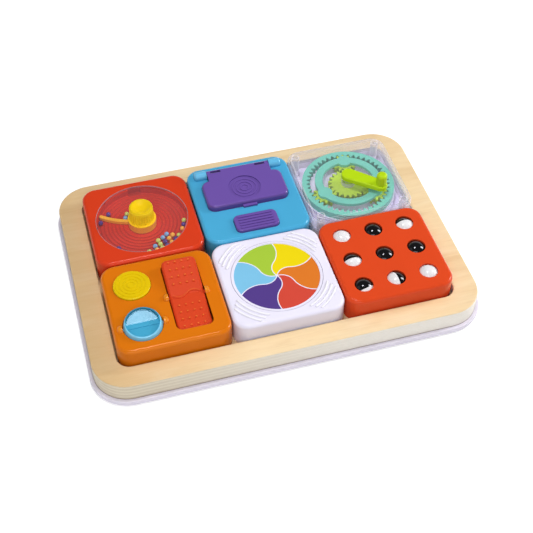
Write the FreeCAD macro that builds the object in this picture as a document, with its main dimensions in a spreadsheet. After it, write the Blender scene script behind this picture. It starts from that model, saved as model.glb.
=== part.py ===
import FreeCAD, Part
import math
import os
import Sketcher

# Busy board: a plywood board on a shallow plastic base, with six square
# modules that stand in one common pocket. Millimetres and degrees.
# +X runs along the long side, +Y to the back, +Z up. The origin is the
# centre of the underside.

SIZES = {
    # Plywood board and its pocket
    "board_thickness": 19.0,
    "board_corner": 32.0,
    "board_edge_round": 1.2,
    "border_ends": 22.35,
    "border_sides": 20.9,
    "pocket_depth": 10.0,
    "pocket_gap": 1.3,
    "pocket_corner_ease": 2.0,
    "pocket_edge_round": 0.6,
    # Base tray
    "tray_height": 6.0,
    "tray_rim": 3.4,
    "tray_floor": 2.2,
    "tray_rib": 9.0,
    "tray_cell_corner": 6.0,
    "tray_bottom_round": 1.6,
    "tray_rim_round": 0.7,
    "wood_seat": 0.8,
    "wood_clear": 0.2,
    # Screws through the base into the plywood
    "wood_screw_x": 110.0,
    "wood_screw_y": 58.0,
    "wood_screw_radius": 1.7,
    "wood_screw_length": 14.0,
    "wood_screw_head": 3.6,
    "wood_screw_head_height": 2.2,
    # Module housings
    "tile_pitch": 104.0,
    "tile_side": 103.2,
    "tile_rise": 16.0,
    "tile_corner": 14.0,
    "tile_draft": 0.6,
    "tile_edge_round": 3.4,
    "tile_wall": 2.5,
    "top_wall": 2.5,
    "cover_thickness": 2.5,
    "cover_clear": 0.15,
    "screw_inset": 42.0,
    "boss_radius": 3.8,
    "screw_radius": 1.25,
    "screw_depth": 8.0,
    "screw_head": 2.8,
    "screw_head_height": 1.4,
    "screw_clear": 0.05,
    "head_clear": 0.2,
    # Fits
    "running_clear": 0.1,
    "face_clear": 0.3,
    "button_clear": 0.35,
    # Bead module
    "window_ledge": 1.6,
    "window_thickness": 2.0,
    "window_clear": 0.15,
    "dish_radius": 42.4,
    "dish_wall": 1.8,
    "dish_floor": 2.0,
    "dish_depth": 8.5,
    "dish_notch_width": 12.4,
    "dish_notch_depth": 1.0,
    "ripple_width": 1.6,
    "ripple_height": 0.4,
    "ripple_first": 17.6,
    "ripple_step": 3.6,
    "ripple_rings": 7,
    "knob_height": 14.9,
    "knob_base_radius": 11.9,
    "knob_top_radius": 11.1,
    "knob_dish_depth": 2.6,
    "knob_dish_round": 6.0,
    "knob_rim": 2.0,
    "knob_top_round": 1.1,
    "knob_rim_round": 0.6,
    "knob_flute_radius": 0.85,
    "knob_flute_bite": 1.15,
    "knob_flute_height": 11.2,
    "knob_flutes": 30,
    "hub_radius": 13.4,
    "hub_journal_radius": 3.2,
    "sweep_width": 3.6,
    "sweep_height": 3.2,
    "sweep_bow_radius": 62.0,
    "sweep_clear": 2.0,
    "sweep_angle": 156.0,
    "axle_screw_head": 5.2,
    "axle_screw_head_height": 1.6,
    "axle_screw_length": 16.0,
    "bead_radius": 2.3,
    "bead_lift": 0.1,
    # Lid module
    "lid_length": 80.6,
    "lid_front": -10.5,
    "lid_shoulder": 27.0,
    "lid_corner": 8.0,
    "lid_thickness": 6.5,
    "lid_edge_round": 2.3,
    "lid_gap": 0.9,
    "lid_recess": 1.2,
    "lid_wall": 2.4,
    "lid_hollow": 2.4,
    "lid_tongue_half": 31.4,
    "lid_lip_half": 7.0,
    "lid_lip_reach": 2.8,
    "lid_lip_height": 2.0,
    "lid_badge_y": 9.5,
    "lid_badge_radius": 15.8,
    "lid_badge_depth": 1.2,
    "lid_ripple_height": 0.6,
    "lid_ripple_width": 1.5,
    "lid_ripple_step": 3.9,
    "hinge_y": 38.5,
    "hinge_barrel_radius": 3.6,
    "knuckle_radius": 4.5,
    "knuckle_length": 12.4,
    "knuckle_end_round": 2.8,
    "hinge_pin_radius": 1.5,
    "hinge_gap": 0.5,
    "lid_slot_middle": 22.5,
    "lid_slot_length": 10.0,
    "lid_slot_width": 2.8,
    "lid_slot_shift": 0.9,
    "lid_slot_depth": 2.2,
    "catch_half": 6.0,
    "catch_thick": 2.2,
    "catch_y": -7.0,
    "catch_drop": 6.0,
    "ceiling_pad": 2.2,
    "mirror_length": 66.0,
    "mirror_width": 26.0,
    "mirror_y": 13.0,
    "mirror_thickness": 1.5,
    "mirror_corner": 4.0,
    "release_length": 42.2,
    "release_width": 21.4,
    "release_y": -34.0,
    "release_corner": 5.5,
    "release_rise": 2.8,
    "release_edge_round": 1.2,
    "release_ribs": 5,
    "release_rib_pitch": 3.5,
    "release_rib_width": 1.9,
    "release_rib_length": 33.6,
    "release_rib_height": 0.8,
    "release_arm_thickness": 1.6,
    "flange_reach": 1.8,
    "flange_thickness": 1.5,
    "spring_spread": 14.5,
    "spring_radius": 3.4,
    "spring_wire": 0.55,
    "spring_turns": 4,
    "spring_height": 11.0,
    "spring_seat": 0.1,
    # Gear module
    "gear_module": 1.75,
    "sun_teeth": 21,
    "planet_teeth": 12,
    "gear_backlash": 0.34,
    "gear_addendum": 0.82,
    "gear_dedendum": 1.16,
    "gear_pressure": 24.0,
    "gear_phase": -10.5,
    "gear_floor": 12.0,
    "gear_floor_thickness": 2.0,
    "gear_floor_reach": 1.2,
    "gear_floor_wall": 2.4,
    "ring_wall": 4.4,
    "ring_gear_height": 7.0,
    "planet_height": 6.6,
    "sun_height": 5.8,
    "carrier_thickness": 3.0,
    "carrier_ring_width": 7.6,
    "carrier_ring_middle": 29.4,
    "carrier_lobe_radius": 7.0,
    "carrier_pin_radius": 3.0,
    "crank_radius": 34.0,
    "crank_angle": -41.0,
    "crank_rise": 1.2,
    "crank_arm_height": 4.6,
    "crank_hub_radius": 7.5,
    "crank_end_radius": 6.4,
    "crank_shaft_radius": 4.0,
    "crank_foot_radius": 2.6,
    "crank_foot_length": 5.0,
    "crank_grip_radius": 5.2,
    "crank_grip_height": 14.0,
    "collar_radius": 7.0,
    "collar_drop": 5.0,
    # Switch module
    "push_x": -25.4,
    "push_y": 22.6,
    "push_radius": 17.0,
    "push_rise": 1.6,
    "push_edge_round": 1.0,
    "push_ring_first": 3.4,
    "push_ring_step": 3.4,
    "push_rings": 4,
    "push_ring_width": 1.5,
    "push_ring_height": 0.4,
    "push_spring_radius": 6.0,
    "rocker_axis_drop": 2.4,
    "rocker_boss_radius": 5.2,
    "rocker_boss_length": 4.8,
    "rocker_boss_round": 3.4,
    "rocker_pin_radius": 1.7,
    "rocker_pin_length": 3.4,
    "rocker_gap": 1.0,
    "round_rocker_x": -24.4,
    "round_rocker_y": -24.0,
    "round_rocker_radius": 17.5,
    "round_rocker_rise": 7.4,
    "round_rocker_drop": 6.0,
    "round_rocker_rim": 1.3,
    "round_rocker_inset": 1.1,
    "round_rocker_valley": 2.3,
    "round_rocker_panel": 0.5,
    "round_rocker_border": 0.8,
    "round_rocker_fold": 2.3,
    "round_rocker_edge_round": 0.9,
    "round_rocker_gap": 0.5,
    "round_rocker_tilt": 7.0,
    "bar_rocker_x": 20.0,
    "bar_rocker_y": 0.5,
    "bar_rocker_width": 31.6,
    "bar_rocker_length": 75.6,
    "bar_rocker_corner": 5.0,
    "bar_rocker_rise": 5.5,
    "bar_rocker_edge_round": 2.2,
    "bar_rocker_valley": 2.2,
    "bar_rocker_drop": 5.0,
    "bar_rocker_tilt": 9.2,
    "bump_radius": 1.3,
    "bump_height": 0.8,
    "bump_pitch_x": 6.15,
    "bump_pitch_y": 7.4,
    "bump_first_y": 11.3,
    "wave_half": 12.6,
    "wave_rise": 2.6,
    "wave_width": 1.4,
    "wave_height": 0.7,
    # Pinwheel module
    "disc_radius": 41.8,
    "disc_clear": 0.4,
    "disc_thickness": 3.4,
    "disc_drop": 0.4,
    "disc_lip_width": 1.9,
    "disc_lip_height": 0.5,
    "disc_axle_radius": 4.0,
    "petal_rim": 0.2,
    "petal_depth": 0.8,
    "petal_line": 0.9,
    "petal_lean": 5.0,
    "petal_inner_bow": 2.9,
    "petal_outer_bow": 3.4,
    "petal_bend_radius": 16.0,
    "petal_phase": 81.0,
    "arc_inset": 4.5,
    "arc_step": 4.1,
    "arc_round": 1.5,
    "arc_height": 1.0,
    "arc_first_span": 20.0,
    "arc_span_step": 3.2,
    # Ball module
    "ball_pitch": 31.3,
    "ball_radius": 10.4,
    "ball_clear": 0.35,
    "ball_rise": 2.1,
    "ball_hole_radius": 8.6,
    "ball_sleeve_wall": 1.7,
    "ball_sleeve_drop": 6.5,
    "ball_cup_radius": 6.5,
    "ball_cup_rise": 1.6,
}

V = FreeCAD.Vector
doc = FreeCAD.newDocument("busy_board")
sheet = doc.addObject("Spreadsheet::Sheet", "Sizes")
for row, (alias, value) in enumerate(SIZES.items(), start=1):
    sheet.set(f"A{row}", alias)
    sheet.set(f"B{row}", str(value))
    sheet.setAlias(f"B{row}", alias)
datum = doc.addObject("Part::Vertex", "datum")
doc.recompute()

# Heights from the underside of the board
WOOD_BOTTOM = "(Sizes.tray_height - Sizes.wood_seat)"
WOOD_TOP = f"({WOOD_BOTTOM} + Sizes.board_thickness)"
TILE_BOTTOM = f"({WOOD_TOP} - Sizes.pocket_depth)"

# Outlines of the pocket and the board
POCKET_LENGTH = "(2 * Sizes.tile_pitch + Sizes.tile_side + 2 * Sizes.pocket_gap)"
POCKET_WIDTH = "(Sizes.tile_pitch + Sizes.tile_side + 2 * Sizes.pocket_gap)"
POCKET_CORNER = "(Sizes.tile_corner - Sizes.pocket_corner_ease)"
BOARD_LENGTH = f"({POCKET_LENGTH} + 2 * Sizes.border_ends)"
BOARD_WIDTH = f"({POCKET_WIDTH} + 2 * Sizes.border_sides)"

# Heights inside a module, from its own underside
TILE_HEIGHT = "(Sizes.pocket_depth + Sizes.tile_rise)"
CEILING = f"({TILE_HEIGHT} - Sizes.top_wall)"
COVER_TOP = "Sizes.cover_thickness"
CAVITY_SIDE = "(Sizes.tile_side - 2 * Sizes.tile_wall)"
CAVITY_CORNER = "(Sizes.tile_corner - Sizes.tile_wall)"

# Column and row of each module in the pocket
PLACES = {
    "bead": (-1, 1),
    "lid": (0, 1),
    "gear": (1, 1),
    "switch": (-1, -1),
    "pinwheel": (0, -1),
    "ball": (1, -1),
}

nodes = []


def size(rule):
    """The value of a rule written with the sheet's names."""
    found = datum.evalExpression(rule)
    return float(getattr(found, "Value", found))


def tile_x(tile):
    return f"({PLACES[tile][0]} * Sizes.tile_pitch)"


def tile_y(tile):
    return f"({PLACES[tile][1]} * Sizes.tile_pitch / 2)"


def bind(thing, **rules):
    for path, rule in rules.items():
        thing.setExpression(path.replace("__", "."), rule)
    return thing


def place(thing, x="0", y="0", z="0"):
    return bind(thing, Placement__Base__x=x, Placement__Base__y=y, Placement__Base__z=z)


def keep(thing, name):
    """Name a finished sub-part and put it on the list that is written."""
    thing.Label = name
    if thing.Label != name:
        raise RuntimeError(f"{name} is used twice")
    nodes.append(thing)
    return thing


def in_tile(thing, tile):
    return place(thing, tile_x(tile), tile_y(tile), TILE_BOTTOM)


# Solids bound to the sheet

def cylinder(name, radius, length, x="0", y="0", z="0"):
    solid = doc.addObject("Part::Cylinder", name)
    bind(solid, Radius=radius, Height=length)
    return place(solid, x, y, z)


def cross_cylinder(name, radius, length, x="0", y="0", z="0"):
    """A cylinder along +X that starts at x."""
    solid = cylinder(name, radius, length, x, y, z)
    solid.Placement.Rotation = FreeCAD.Rotation(V(0, 1, 0), 90)
    return place(solid, x, y, z)


def block(name, length, width, tall, x="0", y="0", z="0"):
    """A box centred on x and y that stands on z."""
    solid = doc.addObject("Part::Box", name)
    bind(solid, Length=length, Width=width, Height=tall)
    return place(solid, f"{x} - ({length}) / 2", f"{y} - ({width}) / 2", z)


def sphere(name, radius, x="0", y="0", z="0"):
    solid = doc.addObject("Part::Sphere", name)
    bind(solid, Radius=radius)
    return place(solid, x, y, z)


def join(name, *solids):
    whole = doc.addObject("Part::MultiFuse", name)
    whole.Shapes = list(solids)
    return whole


def group(name, solids):
    whole = doc.addObject("Part::Compound", name)
    whole.Links = list(solids)
    return whole


def cut(name, base, *tools):
    whole = doc.addObject("Part::Cut", name)
    whole.Base = base
    whole.Tool = tools[0] if len(tools) == 1 else group(name + "_tools", tools)
    return whole


# Sketch outlines whose sizes and places are bound to the sheet

def overlap(name, first, second):
    shared = doc.addObject("Part::Common", name)
    shared.Base = first
    shared.Tool = second
    return shared


def soften(solid, radius, wanted):
    """Round those edges of a built solid that a test picks out."""
    doc.recompute()
    softened = doc.addObject("Part::Fillet", solid.Name + "_rounded")
    softened.Base = solid
    numbered = enumerate(solid.Shape.Edges, start=1)
    softened.Edges = [(index, radius, radius) for index, edge in numbered if wanted(edge)]
    doc.recompute()
    return softened


def round_end(bar, end_x, radius):
    """Round the edge of a crosswise cylinder at one of its ends."""
    return soften(bar, radius, lambda edge: abs(edge.BoundBox.XMin - end_x) < 0.01
                  and abs(edge.BoundBox.XMax - end_x) < 0.01)


def fix(sketch, constraint, rule):
    index = sketch.addConstraint(constraint)
    sketch.setExpression(f"Constraints[{index}]", rule)


def fix_point(sketch, edge, end, x, y):
    if x == "0" and y == "0":
        sketch.addConstraint(Sketcher.Constraint("Coincident", edge, end, -1, 1))
        return
    if x == "0":
        sketch.addConstraint(Sketcher.Constraint("PointOnObject", edge, end, -2))
    else:
        fix(sketch, Sketcher.Constraint("DistanceX", -1, 1, edge, end, size(x)), x)
    if y == "0":
        sketch.addConstraint(Sketcher.Constraint("PointOnObject", edge, end, -1))
    else:
        fix(sketch, Sketcher.Constraint("DistanceY", -1, 1, edge, end, size(y)), y)


def rounded_rectangle(sketch, length, width, corner, x="0", y="0"):
    half_x = size(length) / 2
    half_y = size(width) / 2
    radius = size(corner)
    middle = V(size(x), size(y), 0)
    lines = []
    arcs = []
    for turn in range(4):
        angle = turn * math.pi / 2
        reach = half_y if turn % 2 == 0 else half_x
        run = (half_x if turn % 2 == 0 else half_y) - radius
        along = V(math.cos(angle), math.sin(angle), 0)
        out = V(math.sin(angle), -math.cos(angle), 0)
        start = middle + out * reach - along * run
        finish = middle + out * reach + along * run
        lines.append(sketch.addGeometry(Part.LineSegment(start, finish)))
        hub = finish - out * radius
        bend = Part.Circle(hub, V(0, 0, 1), radius)
        arcs.append(sketch.addGeometry(Part.ArcOfCircle(bend, angle - math.pi / 2, angle)))
    rule = Sketcher.Constraint
    for turn in range(4):
        sketch.addConstraint(rule("Tangent", lines[turn], 2, arcs[turn], 1))
        sketch.addConstraint(rule("Tangent", arcs[turn], 2, lines[(turn + 1) % 4], 1))
    for turn in (0, 2):
        sketch.addConstraint(rule("Horizontal", lines[turn]))
        sketch.addConstraint(rule("Vertical", lines[turn + 1]))
    for turn in range(3):
        sketch.addConstraint(rule("Equal", arcs[turn], arcs[turn + 1]))
    fix(sketch, rule("Radius", arcs[0], radius), corner)
    right = f"({x}) + ({length}) / 2"
    left = f"({x}) - ({length}) / 2"
    back = f"({y}) + ({width}) / 2"
    front = f"({y}) - ({width}) / 2"
    fix(sketch, rule("DistanceX", -1, 1, lines[1], 1, size(right)), right)
    fix(sketch, rule("DistanceX", -1, 1, lines[3], 1, size(left)), left)
    fix(sketch, rule("DistanceY", -1, 1, lines[2], 1, size(back)), back)
    fix(sketch, rule("DistanceY", -1, 1, lines[0], 1, size(front)), front)


def circle(sketch, radius, x="0", y="0"):
    hub = V(size(x), size(y), 0)
    edge = sketch.addGeometry(Part.Circle(hub, V(0, 0, 1), size(radius)))
    fix(sketch, Sketcher.Constraint("Radius", edge, size(radius)), radius)
    fix_point(sketch, edge, 3, x, y)


def polygon(sketch, corners):
    """A closed outline of straight lines through corners given as rules."""
    points = [V(size(x), size(y), 0) for x, y in corners]
    count = len(points)
    edges = []
    for index in range(count):
        line = Part.LineSegment(points[index], points[(index + 1) % count])
        edges.append(sketch.addGeometry(line))
    for index in range(count):
        after = edges[(index + 1) % count]
        sketch.addConstraint(Sketcher.Constraint("Coincident", edges[index], 2, after, 1))
    for edge, (x, y) in zip(edges, corners):
        fix_point(sketch, edge, 1, x, y)


class Moulding:
    """One piece built feature by feature from sketches."""

    def __init__(self, name, x="0", y="0", z="0"):
        self.body = doc.addObject("PartDesign::Body", name)
        self.name = name
        place(self.body, x, y, z)

    def sketch(self, height="0", plane="XY_Plane"):
        drawing = self.body.newObject("Sketcher::SketchObject", self.name + "_sketch")
        base = [part for part in self.body.Origin.OriginFeatures if part.Role == plane]
        drawing.AttachmentSupport = [(base[0], "")]
        drawing.MapMode = "FlatFace"
        drawing.setExpression("AttachmentOffset.Base.z", height)
        return drawing

    def feature(self, kind, drawing, **rules):
        step = self.body.newObject("PartDesign::" + kind, self.name + "_" + kind.lower())
        step.Profile = drawing
        bind(step, **rules)
        drawing.Visibility = False
        doc.recompute()
        return step

    def pad(self, drawing, length, draft=None):
        rules = {"Length": length}
        if draft:
            rules["TaperAngle"] = draft
        return self.feature("Pad", drawing, **rules)

    def pocket(self, drawing, length, up=False):
        step = self.feature("Pocket", drawing, Length=length)
        if up:
            step.Reversed = True
            doc.recompute()
        return step

    def revolve(self, drawing, kind="Revolution"):
        step = self.feature(kind, drawing)
        step.ReferenceAxis = (drawing, ["V_Axis"])
        step.Angle = 360
        doc.recompute()
        return step

    def edges_at(self, height, reach=None):
        """Edges that lie level at a height, kept to those that reach out far enough."""
        found = []
        level = size(height)
        for index, edge in enumerate(self.body.Tip.Shape.Edges, start=1):
            box = edge.BoundBox
            if abs(box.ZMin - level) > 0.001 or abs(box.ZMax - level) > 0.001:
                continue
            if reach is not None and not reach(edge):
                continue
            found.append(f"Edge{index}")
        return found

    def round(self, radius, edges):
        step = self.body.newObject("PartDesign::Fillet", self.name + "_round")
        step.Base = (self.body.Tip if self.body.Tip != step else step.BaseFeature, edges)
        step.setExpression("Radius", radius)
        doc.recompute()
        return step

    def turn_copies(self, step, count):
        ring = self.body.newObject("PartDesign::PolarPattern", self.name + "_ring")
        ring.Originals = [step]
        ring.Axis = ([part for part in self.body.Origin.OriginFeatures if part.Role == "Z_Axis"][0], [""])
        ring.Angle = 360
        ring.setExpression("Occurrences", count)
        self.body.Tip = ring
        doc.recompute()
        return ring


def corners(spread_x, spread_y):
    """The four corners of a rectangle as pairs of rules."""
    return [(f"{sx} * ({spread_x})", f"{sy} * ({spread_y})") for sx in (-1, 1) for sy in (-1, 1)]


def screw(name, x, y, head_bottom, head, head_height, shank, length):
    top = cylinder(name + "_head", head, head_height, x, y, head_bottom)
    stem = cylinder(name + "_shank", shank, length, x, y, f"{head_bottom} + {head_height}")
    return join(name, top, stem)


# Plywood board

WOOD_SCREWS = (
    corners("Sizes.wood_screw_x", f"({BOARD_WIDTH} - Sizes.border_sides) / 2")
    + corners(f"({BOARD_LENGTH} - Sizes.border_ends) / 2", "Sizes.wood_screw_y")
)


def make_wood_frame():
    board = Moulding("wood_frame", z=WOOD_BOTTOM)
    outline = board.sketch()
    rounded_rectangle(outline, BOARD_LENGTH, BOARD_WIDTH, "Sizes.board_corner")
    board.pad(outline, "Sizes.board_thickness")
    board.round("Sizes.board_edge_round", board.edges_at("Sizes.board_thickness"))
    mouth = board.sketch("Sizes.board_thickness")
    rounded_rectangle(mouth, POCKET_LENGTH, POCKET_WIDTH, POCKET_CORNER)
    board.pocket(mouth, "Sizes.pocket_depth")
    limit = size(POCKET_LENGTH) / 2 + 0.1
    side = size(POCKET_WIDTH) / 2 + 0.1
    inner = board.edges_at("Sizes.board_thickness", lambda edge: edge.BoundBox.XMax < limit
                           and edge.BoundBox.XMin > -limit
                           and max(abs(edge.BoundBox.YMin), abs(edge.BoundBox.YMax)) < side)
    board.round("Sizes.pocket_edge_round", inner)
    holes = board.sketch()
    for x, y in WOOD_SCREWS:
        circle(holes, "Sizes.wood_screw_radius + Sizes.screw_clear", x, y)
    depth = "Sizes.wood_screw_length + Sizes.wood_screw_head_height - " + WOOD_BOTTOM + " + 1"
    board.pocket(holes, depth, up=True)
    keep(board.body, "wood_frame")


def make_base_tray():
    tray = Moulding("base_tray")
    outline = tray.sketch()
    corner = "(Sizes.board_corner + Sizes.tray_rim)"
    rims = "2 * Sizes.tray_rim"
    rounded_rectangle(outline, f"{BOARD_LENGTH} + {rims}", f"{BOARD_WIDTH} + {rims}", corner)
    tray.pad(outline, "Sizes.tray_height")
    tray.round("Sizes.tray_bottom_round", tray.edges_at("0"))
    tray.round("Sizes.tray_rim_round", tray.edges_at("Sizes.tray_height"))
    seat = tray.sketch("Sizes.tray_height")
    grow = "2 * Sizes.wood_clear"
    rounded_rectangle(seat, f"{BOARD_LENGTH} + {grow}", f"{BOARD_WIDTH} + {grow}",
                      "Sizes.board_corner + Sizes.wood_clear")
    tray.pocket(seat, "Sizes.wood_seat")
    cells = tray.sketch(WOOD_BOTTOM)
    side = "Sizes.tile_pitch - Sizes.tray_rib"
    for column, row in PLACES.values():
        x = f"{column} * Sizes.tile_pitch"
        y = f"{row} * Sizes.tile_pitch / 2"
        rounded_rectangle(cells, side, side, "Sizes.tray_cell_corner", x, y)
    tray.pocket(cells, f"{WOOD_BOTTOM} - Sizes.tray_floor")
    holes = tray.sketch()
    for x, y in WOOD_SCREWS:
        circle(holes, "Sizes.wood_screw_radius + Sizes.screw_clear", x, y)
    tray.pocket(holes, "Sizes.tray_height", up=True)
    heads = tray.sketch()
    for x, y in WOOD_SCREWS:
        circle(heads, "Sizes.wood_screw_head + Sizes.head_clear", x, y)
    tray.pocket(heads, "Sizes.wood_screw_head_height + Sizes.head_clear", up=True)
    keep(tray.body, "base_tray")


def make_tray_screws():
    screws = []
    for number, (x, y) in enumerate(WOOD_SCREWS, start=1):
        screws.append(screw(f"tray_screw_{number}", x, y, "Sizes.head_clear", "Sizes.wood_screw_head",
                            "Sizes.wood_screw_head_height", "Sizes.wood_screw_radius",
                            "Sizes.wood_screw_length"))
    keep(group("tray_screws", screws), "tray_screws")


# What every module has: a drafted shell, a back cover and four screws

TILE_SCREWS = corners("Sizes.screw_inset", "Sizes.screw_inset")


def tile_shell(tile):
    shell = Moulding(f"{tile}_shell", tile_x(tile), tile_y(tile), TILE_BOTTOM)
    outline = shell.sketch()
    rounded_rectangle(outline, "Sizes.tile_side", "Sizes.tile_side", "Sizes.tile_corner")
    shell.pad(outline, TILE_HEIGHT, draft="-Sizes.tile_draft")
    shell.round("Sizes.tile_edge_round", shell.edges_at(TILE_HEIGHT))
    cavity = shell.sketch()
    rounded_rectangle(cavity, CAVITY_SIDE, CAVITY_SIDE, CAVITY_CORNER)
    shell.pocket(cavity, CEILING, up=True)
    bosses = shell.sketch(COVER_TOP)
    for x, y in TILE_SCREWS:
        circle(bosses, "Sizes.boss_radius", x, y)
    shell.pad(bosses, f"{CEILING} - {COVER_TOP}")
    pilots = shell.sketch(COVER_TOP)
    for x, y in TILE_SCREWS:
        circle(pilots, "Sizes.screw_radius + Sizes.screw_clear", x, y)
    shell.pocket(pilots, "Sizes.screw_depth + 1", up=True)
    return shell


def back_cover(tile):
    cover = Moulding(f"{tile}_cover", tile_x(tile), tile_y(tile), TILE_BOTTOM)
    outline = cover.sketch()
    side = f"{CAVITY_SIDE} - 2 * Sizes.cover_clear"
    rounded_rectangle(outline, side, side, f"{CAVITY_CORNER} - Sizes.cover_clear")
    cover.pad(outline, COVER_TOP)
    holes = cover.sketch()
    for x, y in TILE_SCREWS:
        circle(holes, "Sizes.screw_radius + Sizes.screw_clear", x, y)
    cover.pocket(holes, COVER_TOP, up=True)
    heads = cover.sketch()
    for x, y in TILE_SCREWS:
        circle(heads, "Sizes.screw_head + Sizes.head_clear", x, y)
    cover.pocket(heads, "Sizes.screw_head_height + Sizes.head_clear", up=True)
    return cover


def tile_screws(tile):
    screws = []
    for number, (x, y) in enumerate(TILE_SCREWS, start=1):
        screws.append(screw(f"{tile}_screw_{number}", x, y, "Sizes.head_clear", "Sizes.screw_head",
                            "Sizes.screw_head_height", "Sizes.screw_radius",
                            f"{COVER_TOP} - Sizes.screw_head_height + Sizes.screw_depth"))
    whole = group(f"{tile}_tile_screws", screws)
    keep(in_tile(whole, tile), f"{tile}_tile_screws")


def dish(shell, radius, wall, top, floor):
    """A round pan hung from the ceiling: a floor disc and the wall round it."""
    base = shell.sketch(f"{top} - {floor}")
    circle(base, f"{radius} + {wall}")
    shell.pad(base, f"{CEILING} - ({top} - {floor})")
    bore = shell.sketch(TILE_HEIGHT)
    circle(bore, radius)
    shell.pocket(bore, f"{TILE_HEIGHT} - ({top})")


def coil_path(radius, tall, turns):
    """The middle line of a coil: each half turn is two arcs that meet in one direction."""
    rise = tall / (turns * 2 * math.pi)

    def spot(angle):
        return V(radius * math.cos(angle), radius * math.sin(angle), rise * angle)

    def heading(angle):
        return V(-radius * math.sin(angle), radius * math.cos(angle), rise).normalize()

    def arc(start, corner, end):
        middle = (start + end) * 0.5
        outward = corner - middle
        half = (end - start).Length / 2
        bend = math.atan2(outward.Length, half)
        return Part.Arc(start, middle + outward.normalize() * (half * math.tan(bend / 2)), end).toShape()

    edges = []
    for half_turn in range(2 * turns):
        first = half_turn * math.pi
        start, end = spot(first), spot(first + math.pi)
        leave, arrive = heading(first), heading(first + math.pi)
        both = leave + arrive
        across = end - start
        square = 4 - both.dot(both)
        lean = across.dot(both)
        reach = (math.sqrt(lean ** 2 + square * across.dot(across)) - lean) / square
        corners_at = (start + leave * reach, end - arrive * reach)
        joint = (corners_at[0] + corners_at[1]) * 0.5
        edges += [arc(start, corners_at[0], joint), arc(joint, corners_at[1], end)]
    return Part.Wire(edges), heading(0)


def coil(name, radius, x="0", y="0", z="0"):
    """A compression spring with an upright axis."""
    wire = size("Sizes.spring_wire")
    tall = size("Sizes.spring_height - 2 * Sizes.spring_seat") - 2 * wire
    reach = size(radius)
    path, heading = coil_path(reach, tall, SIZES["spring_turns"])
    section = Part.Wire([Part.makeCircle(wire, V(reach, 0, 0), heading)])
    spring = doc.addObject("Part::Feature", name)
    spring.Shape = path.makePipeShell([section], True, False)
    return place(spring, x, y, f"{z} + Sizes.spring_seat + Sizes.spring_wire")


# Bead module: beads under a clear window, pushed round by an arm on a knob

DISH_FLOOR = f"({TILE_HEIGHT} - Sizes.dish_depth)"
HUB_BOTTOM = f"({DISH_FLOOR} + Sizes.ripple_height + Sizes.face_clear)"
KNOB_BOTTOM = f"({TILE_HEIGHT} + Sizes.face_clear)"
KNOB_TOP = f"({TILE_HEIGHT} + Sizes.knob_height)"
HUB_FOOT = f"({DISH_FLOOR} - Sizes.dish_floor - Sizes.face_clear)"
WINDOW_RADIUS = "(Sizes.dish_radius + Sizes.window_ledge)"


def make_bead_housing():
    shell = tile_shell("bead")
    dish(shell, "Sizes.dish_radius", "Sizes.dish_wall", DISH_FLOOR, "Sizes.dish_floor")
    opening = shell.sketch(TILE_HEIGHT)
    circle(opening, f"{WINDOW_RADIUS} + Sizes.window_clear")
    shell.pocket(opening, "Sizes.window_thickness")
    ripples = shell.sketch(DISH_FLOOR)
    for ring in range(SIZES["ripple_rings"]):
        middle = f"Sizes.ripple_first + {ring} * Sizes.ripple_step"
        circle(ripples, f"{middle} + Sizes.ripple_width / 2")
        circle(ripples, f"{middle} - Sizes.ripple_width / 2")
    shell.pad(ripples, "Sizes.ripple_height")
    notch = shell.sketch(f"{TILE_HEIGHT} - Sizes.window_thickness")
    reach = "Sizes.dish_radius + Sizes.dish_notch_depth"
    middle = f"({reach} + Sizes.dish_radius - 2) / 2"
    rounded_rectangle(notch, "Sizes.dish_notch_width", f"{reach} - Sizes.dish_radius + 2", "0.5", "0", middle)
    shell.pocket(notch, "Sizes.dish_depth - Sizes.window_thickness - Sizes.ripple_height - Sizes.face_clear")
    bearing = shell.sketch(DISH_FLOOR)
    circle(bearing, "Sizes.hub_journal_radius + Sizes.running_clear")
    shell.pocket(bearing, "Sizes.dish_floor")
    keep(shell.body, "bead_housing")


def make_bead_window():
    window = Moulding("bead_window", tile_x("bead"), tile_y("bead"), TILE_BOTTOM)
    outline = window.sketch(f"{TILE_HEIGHT} - Sizes.window_thickness")
    circle(outline, WINDOW_RADIUS)
    circle(outline, "Sizes.hub_radius + Sizes.face_clear")
    window.pad(outline, "Sizes.window_thickness")
    keep(window.body, "bead_window")


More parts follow.
